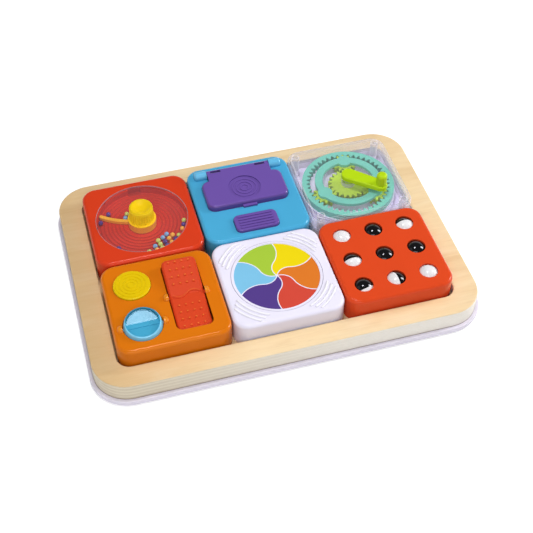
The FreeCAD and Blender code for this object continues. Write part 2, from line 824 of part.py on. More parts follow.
def make_spinner_knob():
    knob = Moulding("spinner_knob", tile_x("bead"), tile_y("bead"), TILE_BOTTOM)
    profile = knob.sketch(plane="XZ_Plane")
    bore = "Sizes.screw_radius + Sizes.screw_clear"
    bore_top = f"{HUB_FOOT} + Sizes.axle_screw_length + 1"
    inner_rim = "Sizes.knob_top_radius - Sizes.knob_rim"
    shallow = f"{KNOB_TOP} - Sizes.knob_dish_depth * 0.8"
    polygon(profile, [
        (bore, KNOB_BOTTOM),
        ("Sizes.knob_base_radius", KNOB_BOTTOM),
        ("Sizes.knob_top_radius", KNOB_TOP),
        (inner_rim, KNOB_TOP),
        (f"({inner_rim}) * 0.5", shallow),
        ("0", f"{KNOB_TOP} - Sizes.knob_dish_depth"),
        ("0", bore_top),
        (bore, bore_top),
    ])
    knob.revolve(profile)
    knob.round("Sizes.knob_dish_round", knob.edges_at(shallow))
    middle = size("Sizes.knob_top_radius - Sizes.knob_rim / 2")
    knob.round("Sizes.knob_rim_round", knob.edges_at(KNOB_TOP, lambda edge: edge.BoundBox.XMax < middle))
    knob.round("Sizes.knob_top_round", knob.edges_at(KNOB_TOP, lambda edge: edge.BoundBox.XMax > middle))
    flute = knob.sketch(KNOB_BOTTOM)
    offset = "Sizes.knob_base_radius + Sizes.knob_flute_radius - Sizes.knob_flute_bite"
    circle(flute, "Sizes.knob_flute_radius", offset, "0")
    groove = knob.pocket(flute, "Sizes.knob_flute_height", up=True)
    knob.turn_copies(groove, "Sizes.knob_flutes")
    keep(knob.body, "spinner_knob")


def make_sweeper_arm():
    arm = Moulding("sweeper_hub", tile_x("bead"), tile_y("bead"), TILE_BOTTOM)
    hub = arm.sketch(HUB_BOTTOM)
    circle(hub, "Sizes.hub_radius")
    arm.pad(hub, f"{KNOB_BOTTOM} - {HUB_BOTTOM}")
    journal = arm.sketch(HUB_FOOT)
    circle(journal, "Sizes.hub_journal_radius")
    arm.pad(journal, f"{HUB_BOTTOM} - {HUB_FOOT}")
    bore = arm.sketch(HUB_FOOT)
    circle(bore, "Sizes.screw_radius + Sizes.screw_clear")
    arm.pocket(bore, f"{KNOB_BOTTOM} - {HUB_FOOT}", up=True)
    blade = doc.addObject("Part::Feature", "sweeper_blade")
    blade.Shape = bowed_bar()
    whole = join("sweeper_arm_whole", arm.body, blade)
    keep(whole, "sweeper_arm")


def bowed_bar():
    """The curved blade, from inside the hub to its tip near the dish wall."""
    angle = math.radians(size("Sizes.sweep_angle"))
    along = V(math.cos(angle), math.sin(angle), 0)
    aside = V(-along.y, along.x, 0)
    start = along * (size("Sizes.hub_radius") * 0.5)
    tip = along * size("Sizes.dish_radius - Sizes.sweep_clear")
    half_run = (tip - start).Length / 2
    bow = size("Sizes.sweep_bow_radius")
    sag = bow - math.sqrt(bow ** 2 - half_run ** 2)
    middle = (start + tip) * 0.5 + aside * sag
    half = size("Sizes.sweep_width") / 2
    edges = []
    for side in (1, -1):
        shift = aside * (half * side)
        edges.append(Part.Arc(start + shift, middle + shift, tip + shift))
    cap = Part.Arc(tip + aside * half, tip + along * half, tip - aside * half)
    back = Part.LineSegment(start - aside * half, start + aside * half)
    curves = [edges[0], cap, edges[1], back]
    outline = Part.Wire(Part.__sortEdges__([curve.toShape() for curve in curves]))
    bar = Part.Face(outline).extrude(V(0, 0, size("Sizes.sweep_height")))
    bar.translate(V(size(tile_x("bead")), size(tile_y("bead")), size(f"{TILE_BOTTOM} + {HUB_BOTTOM}")))
    return bar


# Where the loose beads lie: bead radii in from the dish wall, and direction
WALL_BEADS = (
    (0, 167), (2.0, 148), (0, -12), (0, -20), (0, -28), (0, -41), (0, -49),
    (2.35, -45), (4.7, -49), (2.35, -54), (0, -57), (4.6, -60), (2.25, -63),
    (0, -65), (4.45, -71), (2.2, -72), (0, -73), (0, -81), (2.2, -81), (0, -92), (0, -135),
)
# The same from the hub outwards
HUB_BEADS = ((2.4, 131), (1.8, 147))


def make_beads():
    wall = "(Sizes.dish_radius - Sizes.bead_radius - Sizes.ripple_height)"
    places = [(f"({wall} - {steps} * Sizes.bead_radius)", angle) for steps, angle in WALL_BEADS]
    places += [(f"(Sizes.hub_radius + {steps} * Sizes.bead_radius)", angle) for steps, angle in HUB_BEADS]
    beads = []
    for number, (middle, angle) in enumerate(places, start=1):
        x = f"{middle} * cos({angle} deg)"
        y = f"{middle} * sin({angle} deg)"
        height = f"{DISH_FLOOR} + Sizes.ripple_height + Sizes.bead_radius + Sizes.bead_lift"
        beads.append(sphere(f"bead_{number}", "Sizes.bead_radius", x, y, height))
    keep(in_tile(group("beads", beads), "bead"), "beads")


def axle_screw(name, tile):
    """A pan-head screw from below that holds a turning piece to its module."""
    head_bottom = f"{HUB_FOOT} - Sizes.axle_screw_head_height"
    whole = screw(name, "0", "0", head_bottom, "Sizes.axle_screw_head", "Sizes.axle_screw_head_height",
                  "Sizes.screw_radius", "Sizes.axle_screw_length")
    keep(in_tile(whole, tile), name)


# Lid module: a hinged lid over a mirror, let go by a ribbed button

LID_BOTTOM = f"({TILE_HEIGHT} - Sizes.lid_recess + Sizes.face_clear)"
LID_TOP = f"({LID_BOTTOM} + Sizes.lid_thickness)"
LID_WIDTH = "(Sizes.lid_shoulder - Sizes.lid_front)"
LID_MIDDLE = "((Sizes.lid_shoulder + Sizes.lid_front) / 2)"
HINGE_Z = f"({LID_TOP} - Sizes.hinge_barrel_radius)"
TONGUE_START = "(Sizes.lid_shoulder - Sizes.lid_corner)"
KNUCKLE_START = "(Sizes.lid_tongue_half + Sizes.hinge_gap)"
PAD_BOTTOM = f"({CEILING} - Sizes.ceiling_pad)"
FLANGE_TOP = f"({CEILING} - Sizes.face_clear)"
FLANGE_BOTTOM = f"({FLANGE_TOP} - Sizes.flange_thickness)"


def make_lid_housing():
    shell = tile_shell("lid")
    thick = shell.sketch(PAD_BOTTOM)
    back = "(Sizes.hinge_y + Sizes.knuckle_radius + 1)"
    front = "(Sizes.lid_front - Sizes.lid_gap - 1.5)"
    rounded_rectangle(thick, "Sizes.lid_length + 6", f"{back} - {front}", "3", "0", f"({back} + {front}) / 2")
    shell.pad(thick, "Sizes.ceiling_pad")
    recess = shell.sketch(TILE_HEIGHT)
    rounded_rectangle(recess, "Sizes.lid_length + 2 * Sizes.lid_gap", f"{LID_WIDTH} + 2 * Sizes.lid_gap",
                      "Sizes.lid_corner + Sizes.lid_gap", "0", LID_MIDDLE)
    shell.pocket(recess, "Sizes.lid_recess")
    trough = shell.sketch(TILE_HEIGHT)
    trough_back = "(Sizes.hinge_y + Sizes.hinge_barrel_radius + Sizes.hinge_gap)"
    rounded_rectangle(trough, f"2 * {KNUCKLE_START}", f"{trough_back} - {TONGUE_START}", "0.4",
                      "0", f"({trough_back} + {TONGUE_START}) / 2")
    shell.pocket(trough, f"{TILE_HEIGHT} - ({HINGE_Z} - Sizes.hinge_barrel_radius - Sizes.hinge_gap)")
    pan = shell.sketch(f"{TILE_HEIGHT} - Sizes.lid_recess")
    rounded_rectangle(pan, "Sizes.mirror_length + 2 * Sizes.cover_clear",
                      "Sizes.mirror_width + 2 * Sizes.cover_clear", "Sizes.mirror_corner",
                      "0", "Sizes.mirror_y")
    shell.pocket(pan, "Sizes.mirror_thickness")
    slot = shell.sketch(TILE_HEIGHT)
    slot_front = "(Sizes.catch_y - Sizes.catch_thick - 1)"
    slot_back = "(Sizes.catch_y + Sizes.catch_thick)"
    rounded_rectangle(slot, "2 * Sizes.catch_half + 1.6", f"{slot_back} - {slot_front}", "0.5",
                      "0", f"({slot_back} + {slot_front}) / 2")
    shell.pocket(slot, f"{TILE_HEIGHT} - {PAD_BOTTOM}")
    window = shell.sketch(TILE_HEIGHT)
    rounded_rectangle(window, "Sizes.release_length + 2 * Sizes.button_clear",
                      "Sizes.release_width + 2 * Sizes.button_clear",
                      "Sizes.release_corner + Sizes.button_clear", "0", "Sizes.release_y")
    shell.pocket(window, "Sizes.top_wall")
    x = tile_x("lid")
    y = f"{tile_y('lid')} + Sizes.hinge_y"
    z = f"{TILE_BOTTOM} + {HINGE_Z}"
    parts = [shell.body]
    for side, name in ((-1, "left"), (1, "right")):
        start = f"{x} + {KNUCKLE_START}"
        if side < 0:
            start = f"{x} - {KNUCKLE_START} - Sizes.knuckle_length"
        bar = cross_cylinder(f"knuckle_bar_{name}", "Sizes.knuckle_radius", "Sizes.knuckle_length",
                             start, y, z)
        outer = start if side < 0 else f"{start} + Sizes.knuckle_length"
        parts.append(round_end(bar, size(outer), size("Sizes.knuckle_end_round")))
        parts.append(block(f"knuckle_foot_{name}", "Sizes.knuckle_length - 2 * Sizes.knuckle_end_round",
                           "2 * Sizes.knuckle_radius", f"{HINGE_Z} - {CEILING}",
                           f"{start} + Sizes.knuckle_length / 2", y, f"{TILE_BOTTOM} + {CEILING}"))
    solid = join("lid_housing_solid", *parts)
    bore_length = f"2 * ({KNUCKLE_START} + Sizes.knuckle_length - 1.5)"
    bore = cross_cylinder("hinge_bore", "Sizes.hinge_pin_radius + Sizes.screw_clear", bore_length,
                          f"{x} - ({bore_length}) / 2", y, z)
    keep(cut("lid_housing_whole", solid, bore), "lid_housing")


def make_lid_back_cover():
    cover = back_cover("lid")
    posts = cover.sketch(COVER_TOP)
    for side in (-1, 1):
        circle(posts, "Sizes.spring_radius + 1.2", f"{side} * Sizes.spring_spread", "Sizes.release_y")
    cover.pad(posts, f"{FLANGE_BOTTOM} - Sizes.spring_height - {COVER_TOP}")
    pegs = cover.sketch(f"{FLANGE_BOTTOM} - Sizes.spring_height")
    for side in (-1, 1):
        circle(pegs, "Sizes.spring_radius - 1.2", f"{side} * Sizes.spring_spread", "Sizes.release_y")
    cover.pad(pegs, "4")
    keep(cover.body, "lid_back_cover")


def make_lid_mirror():
    mirror = Moulding("lid_mirror", tile_x("lid"), tile_y("lid"), TILE_BOTTOM)
    outline = mirror.sketch(f"{TILE_HEIGHT} - Sizes.lid_recess - Sizes.mirror_thickness")
    rounded_rectangle(outline, "Sizes.mirror_length", "Sizes.mirror_width", "Sizes.mirror_corner",
                      "0", "Sizes.mirror_y")
    mirror.pad(outline, "Sizes.mirror_thickness")
    keep(mirror.body, "lid_mirror")


def make_flip_lid():
    lid = Moulding("lid_plate", tile_x("lid"), tile_y("lid"), TILE_BOTTOM)
    plate = lid.sketch(LID_BOTTOM)
    rounded_rectangle(plate, "Sizes.lid_length", LID_WIDTH, "Sizes.lid_corner", "0", LID_MIDDLE)
    lid.pad(plate, "Sizes.lid_thickness")
    lid.round("Sizes.lid_edge_round", lid.edges_at(LID_TOP))
    tongue = lid.sketch(LID_BOTTOM)
    rounded_rectangle(tongue, "2 * Sizes.lid_tongue_half", f"Sizes.hinge_y - {TONGUE_START}", "0.4",
                      "0", f"(Sizes.hinge_y + {TONGUE_START}) / 2")
    lid.pad(tongue, "Sizes.lid_thickness")
    hollow = lid.sketch(LID_BOTTOM)
    inset = "2 * Sizes.lid_wall"
    rounded_rectangle(hollow, f"Sizes.lid_length - {inset}", f"{LID_WIDTH} - {inset} - 4",
                      "Sizes.lid_corner - Sizes.lid_wall", "0", f"{LID_MIDDLE} + 2")
    lid.pocket(hollow, "Sizes.lid_hollow", up=True)
    badge = lid.sketch(LID_TOP)
    circle(badge, "Sizes.lid_badge_radius", "0", "Sizes.lid_badge_y")
    lid.pocket(badge, "Sizes.lid_badge_depth")
    ripples = lid.sketch(f"{LID_TOP} - Sizes.lid_badge_depth")
    for ring in range(1, 4):
        middle = f"{ring} * Sizes.lid_ripple_step"
        circle(ripples, f"{middle} + Sizes.lid_ripple_width / 2", "0", "Sizes.lid_badge_y")
        circle(ripples, f"{middle} - Sizes.lid_ripple_width / 2", "0", "Sizes.lid_badge_y")
    lid.pad(ripples, "Sizes.lid_ripple_height")
    x = tile_x("lid")
    y = tile_y("lid")
    lip = block("lid_lip", "2 * Sizes.lid_lip_half", "Sizes.lid_lip_reach + 2", "Sizes.lid_lip_height", x,
                f"{y} + Sizes.lid_front - (Sizes.lid_lip_reach - 2) / 2",
                f"{TILE_BOTTOM} + {TILE_HEIGHT} + Sizes.face_clear")
    catch = block("lid_catch", "2 * Sizes.catch_half", "Sizes.catch_thick",
                  "Sizes.catch_drop + Sizes.lid_hollow", x,
                  f"{y} + Sizes.catch_y", f"{TILE_BOTTOM} + {LID_BOTTOM} - Sizes.catch_drop")
    axis_y = f"{y} + Sizes.hinge_y"
    axis_z = f"{TILE_BOTTOM} + {HINGE_Z}"
    barrel = cross_cylinder("lid_barrel", "Sizes.hinge_barrel_radius", "2 * Sizes.lid_tongue_half",
                            f"{x} - Sizes.lid_tongue_half", axis_y, axis_z)
    solid = join("flip_lid_solid", lid.body, lip, catch, barrel)
    tools = [cross_cylinder("lid_pin_bore", "Sizes.hinge_pin_radius + Sizes.running_clear",
                            "2 * Sizes.lid_tongue_half + 2", f"{x} - Sizes.lid_tongue_half - 1",
                            f"{y} + Sizes.hinge_y", f"{TILE_BOTTOM} + {HINGE_Z}")]
    under = block("lid_tongue_relief", "2 * Sizes.lid_tongue_half + 2", "2 * Sizes.hinge_barrel_radius",
                  "Sizes.lid_thickness", x, f"{y} + Sizes.hinge_y",
                  f"{TILE_BOTTOM} + {LID_BOTTOM} - Sizes.hinge_barrel_radius")
    round_zone = cross_cylinder("lid_barrel_zone", "Sizes.hinge_barrel_radius",
                                "2 * Sizes.lid_tongue_half + 4", f"{x} - Sizes.lid_tongue_half - 2",
                                axis_y, axis_z)
    below = cut("lid_tongue_corner", under, round_zone)
    half = block("lid_tongue_half_space", "2 * Sizes.lid_tongue_half + 4", "3 * Sizes.hinge_barrel_radius",
                 f"{HINGE_Z} - {LID_BOTTOM} + Sizes.hinge_barrel_radius", x, f"{y} + Sizes.hinge_y",
                 f"{TILE_BOTTOM} + {LID_BOTTOM} - Sizes.hinge_barrel_radius")
    tools.append(overlap("lid_tongue_undercut", below, half))
    for side in (-1, 1):
        tools.append(block(f"lid_slot_{side + 2}", "Sizes.lid_slot_length", "Sizes.lid_slot_width",
                           "Sizes.lid_slot_depth + 1",
                           f"{x} + {side} * Sizes.lid_slot_middle", f"{axis_y} - Sizes.lid_slot_shift",
                           f"{TILE_BOTTOM} + {LID_TOP} - Sizes.lid_slot_depth"))
    keep(cut("flip_lid_whole", solid, *tools), "flip_lid")


def make_lid_hinge_pin():
    length = f"(2 * ({KNUCKLE_START} + Sizes.knuckle_length - 2))"
    pin = cross_cylinder("lid_hinge_pin", "Sizes.hinge_pin_radius", length, f"{tile_x('lid')} - {length} / 2",
                         f"{tile_y('lid')} + Sizes.hinge_y", f"{TILE_BOTTOM} + {HINGE_Z}")
    keep(pin, "lid_hinge_pin")


def make_release_button():
    button = Moulding("release_button", tile_x("lid"), tile_y("lid"), TILE_BOTTOM)
    flange = button.sketch(FLANGE_BOTTOM)
    rounded_rectangle(flange, "Sizes.release_length + 2 * Sizes.flange_reach",
                      "Sizes.release_width + 2 * Sizes.flange_reach",
                      "Sizes.release_corner + Sizes.flange_reach", "0", "Sizes.release_y")
    button.pad(flange, "Sizes.flange_thickness")
    cap = button.sketch(FLANGE_TOP)
    rounded_rectangle(cap, "Sizes.release_length", "Sizes.release_width", "Sizes.release_corner",
                      "0", "Sizes.release_y")
    button.pad(cap, f"{TILE_HEIGHT} + Sizes.release_rise - {FLANGE_TOP}")
    button.round("Sizes.release_edge_round", button.edges_at(f"{TILE_HEIGHT} + Sizes.release_rise"))
    ribs = button.sketch(f"{TILE_HEIGHT} + Sizes.release_rise")
    for rib in range(SIZES["release_ribs"]):
        y = f"Sizes.release_y + ({rib} - (Sizes.release_ribs - 1) / 2) * Sizes.release_rib_pitch"
        rounded_rectangle(ribs, "Sizes.release_rib_length", "Sizes.release_rib_width",
                          "Sizes.release_rib_width * 0.45", "0", y)
    button.pad(ribs, "Sizes.release_rib_height")
    arm_top = f"({PAD_BOTTOM} - Sizes.face_clear)"
    arm_bottom = f"({arm_top} - Sizes.release_arm_thickness)"
    arm_back = "(Sizes.catch_y - Sizes.catch_thick / 2 - 1)"
    cap_back = "(Sizes.release_y + Sizes.release_width / 2)"
    for top, back in ((arm_top, arm_back), (f"{FLANGE_BOTTOM} + 0.2", cap_back)):
        arm = button.sketch(arm_bottom)
        rounded_rectangle(arm, "2 * Sizes.catch_half - 2", f"{back} - Sizes.release_y", "0.5",
                          "0", f"({back} + Sizes.release_y) / 2")
        button.pad(arm, f"{top} - {arm_bottom}")
    keep(button.body, "release_button")


def make_release_springs():
    springs = []
    for side in (-1, 1):
        springs.append(coil(f"release_spring_{side + 2}", "Sizes.spring_radius",
                            f"{tile_x('lid')} + {side} * Sizes.spring_spread",
                            f"{tile_y('lid')} + Sizes.release_y",
                            f"{TILE_BOTTOM} + {FLANGE_BOTTOM} - Sizes.spring_height"))
    keep(group("release_springs", springs), "release_springs")


# Gear module: a crank turns a sun gear inside a fixed ring

RING_TEETH = "(Sizes.sun_teeth + 2 * Sizes.planet_teeth)"
CARRIER_RADIUS = "((Sizes.sun_teeth + Sizes.planet_teeth) * Sizes.gear_module / 2)"
PLANET_BOTTOM = "(Sizes.gear_floor + Sizes.face_clear)"
CARRIER_BOTTOM = f"({PLANET_BOTTOM} + Sizes.planet_height + Sizes.face_clear)"
GEAR_ROOT = f"(Sizes.gear_module * ({RING_TEETH} / 2 + Sizes.gear_dedendum))"
RING_RADIUS = f"({GEAR_ROOT} + Sizes.ring_wall)"
GEAR_FLOOR_RADIUS = f"({RING_RADIUS} + Sizes.gear_floor_reach)"
CRANK_BOTTOM = f"({TILE_HEIGHT} + Sizes.crank_rise)"
CRANK_TOP = f"({CRANK_BOTTOM} + Sizes.crank_arm_height)"


def involute(angle):
    return math.tan(angle) - angle


def tooth_half_angle(teeth, radius, space):
    """Half the angle that a tooth, or a ring's tooth space, covers at a radius."""
    pitch = teeth * size("Sizes.gear_module") / 2
    pressure = math.radians(size("Sizes.gear_pressure"))
    base = pitch * math.cos(pressure)
    play = size("Sizes.gear_backlash") * (1 if space else -1)
    at_pitch = (math.pi * size("Sizes.gear_module") / 2 + play) / (2 * pitch)
    here = math.acos(base / radius) if radius > base else 0.0
    return at_pitch + involute(pressure) - involute(here)


def toothed_outline(teeth, inner_radius, outer_radius, inner_space=False):
    """Outline with teeth that point outwards, each flank in two straight runs."""
    pitch = teeth * size("Sizes.gear_module") / 2
    stations = (inner_radius, pitch, outer_radius)
    points = []
    for tooth in range(teeth):
        middle = 2 * math.pi * tooth / teeth
        for side in (-1, 1):
            for radius in stations if side < 0 else reversed(stations):
                angle = middle + side * tooth_half_angle(teeth, radius, inner_space)
                points.append(V(radius * math.cos(angle), radius * math.sin(angle), 0))
    points.append(points[0])
    return Part.Face(Part.makePolygon(points))


def gear_solid(teeth, tall, bore):
    pitch = teeth * size("Sizes.gear_module") / 2
    root = pitch - size("Sizes.gear_dedendum * Sizes.gear_module")
    tip = pitch + size("Sizes.gear_addendum * Sizes.gear_module")
    face = toothed_outline(teeth, root, tip)
    return face.extrude(V(0, 0, tall)).cut(Part.makeCylinder(bore, tall))


def gear_node(name, solid, x, y, z, angle):
    """A toothed wheel, turned to its place in the mesh."""
    wheel = doc.addObject("Part::Feature", name)
    wheel.Shape = solid
    wheel.Placement.Rotation = FreeCAD.Rotation(V(0, 0, 1), angle)
    place(wheel, x, y, z)
    keep(wheel, name)


def make_gears():
    x = tile_x("gear")
    y = tile_y("gear")
    module = size("Sizes.gear_module")
    ring_teeth = int(size(RING_TEETH))
    sun_teeth = SIZES["sun_teeth"]
    planet_teeth = SIZES["planet_teeth"]
    phase = size("Sizes.gear_phase")
    pitch = ring_teeth * module / 2
    tall = size("Sizes.ring_gear_height")
    root = size(GEAR_ROOT)
    tip = pitch - size("Sizes.gear_addendum") * module
    spaces = toothed_outline(ring_teeth, tip, root, inner_space=True).extrude(V(0, 0, tall))
    blank = Part.makeCylinder(size(RING_RADIUS), tall)
    ring = blank.cut(spaces)
    gear_node("ring_gear", ring, x, y, f"{TILE_BOTTOM} + Sizes.gear_floor", phase + 90.0)
    sun_bore = size("Sizes.crank_shaft_radius + Sizes.screw_clear")
    sun = gear_solid(sun_teeth, size("Sizes.sun_height"), sun_bore)
    half_tooth = 180.0 / sun_teeth
    gear_node("sun_gear", sun, x, y, f"{TILE_BOTTOM} + {PLANET_BOTTOM}", phase + 90.0 + half_tooth)
    wheel_bore = size("Sizes.carrier_pin_radius + Sizes.running_clear")
    wheel = gear_solid(planet_teeth, size("Sizes.planet_height"), wheel_bore)
    for number in range(3):
        angle = phase + 90.0 + 120.0 * number
        away = f"{CARRIER_RADIUS}"
        gear_node(f"planet_gear_{number + 1}", wheel.copy(), f"{x} + {away} * cos({angle} deg)",
                  f"{y} + {away} * sin({angle} deg)", f"{TILE_BOTTOM} + {PLANET_BOTTOM}", angle)


def make_planet_carrier():
    phase = size("Sizes.gear_phase")
    carrier = Moulding("planet_carrier", tile_x("gear"), tile_y("gear"), TILE_BOTTOM)
    hoop = carrier.sketch(CARRIER_BOTTOM)
    circle(hoop, "Sizes.carrier_ring_middle + Sizes.carrier_ring_width / 2")
    circle(hoop, "Sizes.carrier_ring_middle - Sizes.carrier_ring_width / 2")
    carrier.pad(hoop, "Sizes.carrier_thickness")
    lobes = carrier.sketch(CARRIER_BOTTOM)
    pins = carrier.sketch(PLANET_BOTTOM)
    for number in range(3):
        angle = f"(90 deg + {phase} deg + {120 * number} deg)"
        x = f"{CARRIER_RADIUS} * cos({angle})"
        y = f"{CARRIER_RADIUS} * sin({angle})"
        circle(lobes, "Sizes.carrier_lobe_radius", x, y)
        circle(pins, "Sizes.carrier_pin_radius", x, y)
    carrier.pad(lobes, "Sizes.carrier_thickness")
    carrier.pad(pins, f"{CARRIER_BOTTOM} + 1 - {PLANET_BOTTOM}")
    keep(carrier.body, "planet_carrier")


def make_gear_housing():
    shell = tile_shell("gear")
    collar = shell.sketch(f"{CEILING} - Sizes.collar_drop")
    circle(collar, "Sizes.collar_radius")
    shell.pad(collar, "Sizes.collar_drop")
    bore = shell.sketch(TILE_HEIGHT)
    circle(bore, "Sizes.crank_shaft_radius + Sizes.running_clear")
    shell.pocket(bore, f"{TILE_HEIGHT} - {CEILING} + Sizes.collar_drop")
    keep(shell.body, "gear_housing")


def make_gear_back_cover():
    cover = back_cover("gear")
    wall = cover.sketch(COVER_TOP)
    circle(wall, GEAR_FLOOR_RADIUS)
    circle(wall, f"{GEAR_FLOOR_RADIUS} - Sizes.gear_floor_wall")
    cover.pad(wall, f"Sizes.gear_floor - {COVER_TOP}")
    post = cover.sketch(COVER_TOP)
    circle(post, "Sizes.collar_radius")
    cover.pad(post, f"Sizes.gear_floor - {COVER_TOP}")
    floor = cover.sketch("Sizes.gear_floor - Sizes.gear_floor_thickness")
    circle(floor, GEAR_FLOOR_RADIUS)
    cover.pad(floor, "Sizes.gear_floor_thickness")
    bore = cover.sketch("Sizes.gear_floor")
    circle(bore, "Sizes.crank_foot_radius + Sizes.running_clear")
    cover.pocket(bore, "Sizes.crank_foot_length + 1")
    keep(cover.body, "gear_back_cover")


def make_crank_handle():
    x = tile_x("gear")
    y = tile_y("gear")
    reach = "Sizes.crank_radius"
    end_x = f"{reach} * cos(Sizes.crank_angle * 1 deg)"
    end_y = f"{reach} * sin(Sizes.crank_angle * 1 deg)"
    hub = cylinder("crank_hub", "Sizes.crank_hub_radius", "Sizes.crank_arm_height", "0", "0", CRANK_BOTTOM)
    end = cylinder("crank_end", "Sizes.crank_end_radius", "Sizes.crank_arm_height",
                   end_x, end_y, CRANK_BOTTOM)
    arm = doc.addObject("Part::Feature", "crank_arm")
    arm.Shape = tapered_arm()
    bar = join("crank_bar", hub, end, arm)
    doc.recompute()
    softened = doc.addObject("Part::Fillet", "crank_bar_rounded")
    softened.Base = bar
    top = size(CRANK_TOP)
    chosen = []
    for index, edge in enumerate(bar.Shape.Edges, start=1):
        box = edge.BoundBox
        if abs(box.ZMin - top) < 0.01 and abs(box.ZMax - top) < 0.01 and box.DiagonalLength > 0.5:
            chosen.append((index, 1.2, 1.2))
    softened.Edges = chosen
    shaft = cylinder("crank_shaft", "Sizes.crank_shaft_radius", f"{CRANK_BOTTOM} + 1 - {PLANET_BOTTOM}",
                     "0", "0", PLANET_BOTTOM)
    foot_rise = f"{PLANET_BOTTOM} - Sizes.gear_floor"
    foot = cylinder("crank_foot", "Sizes.crank_foot_radius", f"Sizes.crank_foot_length + {foot_rise}",
                    "0", "0", "Sizes.gear_floor - Sizes.crank_foot_length")
    grip = cylinder("crank_grip", "Sizes.crank_grip_radius", "Sizes.crank_grip_height",
                    end_x, end_y, f"{CRANK_TOP} - 1")
    doc.recompute()
    grip_round = doc.addObject("Part::Fillet", "crank_grip_rounded")
    grip_round.Base = grip
    grip_top = size(f"{CRANK_TOP} - 1 + Sizes.crank_grip_height")
    radius = size("Sizes.crank_grip_radius") * 0.55
    grip_round.Edges = [(index, radius, radius) for index, edge in enumerate(grip.Shape.Edges, start=1)
                        if abs(edge.BoundBox.ZMin - grip_top) < 0.01]
    whole = join("crank_handle_whole", softened, shaft, foot, grip_round)
    keep(place(whole, x, y, TILE_BOTTOM), "crank_handle")


def tapered_arm():
    """The bar between the crank's two round ends, tangent to both."""
    reach = size("Sizes.crank_radius")
    large = size("Sizes.crank_hub_radius")
    small = size("Sizes.crank_end_radius")
    angle = math.radians(size("Sizes.crank_angle"))
    lean = math.asin((large - small) / reach)
    along = V(math.cos(angle), math.sin(angle), 0)
    aside = V(-along.y, along.x, 0)
    points = []
    for side, order in ((1, (0, 1)), (-1, (1, 0))):
        normal = aside * (side * math.cos(lean)) + along * math.sin(lean)
        ends = (normal * large, along * reach + normal * small)
        points += [ends[order[0]], ends[order[1]]]
    points.append(points[0])
    bar = Part.Face(Part.makePolygon(points)).extrude(V(0, 0, size("Sizes.crank_arm_height")))
    bar.translate(V(0, 0, size(CRANK_BOTTOM)))
    return bar


# Switch module: a push button, a round rocker and a long rocker

ROCKER_AXIS = f"({TILE_HEIGHT} - Sizes.rocker_axis_drop)"


def make_switch_housing():
    shell = tile_shell("switch")
    holes = shell.sketch(TILE_HEIGHT)
    circle(holes, "Sizes.push_radius + Sizes.button_clear", "Sizes.push_x", "Sizes.push_y")
    circle(holes, "Sizes.round_rocker_radius + Sizes.round_rocker_gap",
           "Sizes.round_rocker_x", "Sizes.round_rocker_y")
    around = "2 * Sizes.rocker_gap"
    rounded_rectangle(holes, f"Sizes.bar_rocker_width + {around}", f"Sizes.bar_rocker_length + {around}",
                      "Sizes.bar_rocker_corner + Sizes.rocker_gap",
                      "Sizes.bar_rocker_x", "Sizes.bar_rocker_y")
    shell.pocket(holes, "Sizes.top_wall")
    x = tile_x("switch")
    y = tile_y("switch")
    z = f"{TILE_BOTTOM} + {ROCKER_AXIS}"
    pairs = (("round", "Sizes.round_rocker_radius", "Sizes.round_rocker_x", "Sizes.round_rocker_y"),
             ("bar", "Sizes.bar_rocker_width / 2", "Sizes.bar_rocker_x", "Sizes.bar_rocker_y"))
    bosses = []
    bores = []
    for name, half, axis_x, axis_y in pairs:
        inner = f"({half} + Sizes.rocker_gap)"
        for side in (-1, 1):
            start = f"{x} + {axis_x} + {inner}"
            if side < 0:
                start = f"{x} + {axis_x} - {inner} - Sizes.rocker_boss_length"
            boss = cross_cylinder(f"{name}_boss_{side + 2}", "Sizes.rocker_boss_radius",
                                  "Sizes.rocker_boss_length", start, f"{y} + {axis_y}", z)
            outer = start if side < 0 else f"{start} + Sizes.rocker_boss_length"
            bosses.append(round_end(boss, size(outer), size("Sizes.rocker_boss_round")))
        span = f"(2 * {inner} + 2 * Sizes.rocker_pin_length)"
        bores.append(cross_cylinder(f"{name}_pivot_bore",
                                    "Sizes.rocker_pin_radius + Sizes.running_clear", span,
                                    f"{x} + {axis_x} - {span} / 2", f"{y} + {axis_y}", z))
    solid = join("switch_housing_solid", shell.body, *bosses)
    keep(cut("switch_housing_whole", solid, *bores), "switch_housing")


def make_switch_back_cover():
    cover = back_cover("switch")
    post = cover.sketch(COVER_TOP)
    circle(post, "Sizes.push_spring_radius + 1.6", "Sizes.push_x", "Sizes.push_y")
    cover.pad(post, f"{FLANGE_BOTTOM} - Sizes.spring_height - {COVER_TOP}")
    peg = cover.sketch(f"{FLANGE_BOTTOM} - Sizes.spring_height")
    circle(peg, "Sizes.push_spring_radius - 1.2", "Sizes.push_x", "Sizes.push_y")
    cover.pad(peg, "4")
    keep(cover.body, "switch_back_cover")


def make_push_button():
    button = Moulding("push_button", f"{tile_x('switch')} + Sizes.push_x",
                      f"{tile_y('switch')} + Sizes.push_y", TILE_BOTTOM)
    flange = button.sketch(FLANGE_BOTTOM)
    circle(flange, "Sizes.push_radius + Sizes.flange_reach")
    button.pad(flange, "Sizes.flange_thickness")
    cap = button.sketch(FLANGE_TOP)
    circle(cap, "Sizes.push_radius")
    button.pad(cap, f"{TILE_HEIGHT} + Sizes.push_rise - {FLANGE_TOP}")
    button.round("Sizes.push_edge_round", button.edges_at(f"{TILE_HEIGHT} + Sizes.push_rise"))
    rings = button.sketch(f"{TILE_HEIGHT} + Sizes.push_rise")
    for ring in range(SIZES["push_rings"]):
        middle = f"Sizes.push_ring_first + {ring} * Sizes.push_ring_step"
        circle(rings, f"{middle} + Sizes.push_ring_width / 2")
        circle(rings, f"{middle} - Sizes.push_ring_width / 2")
    button.pad(rings, "Sizes.push_ring_height")
    keep(button.body, "push_button")


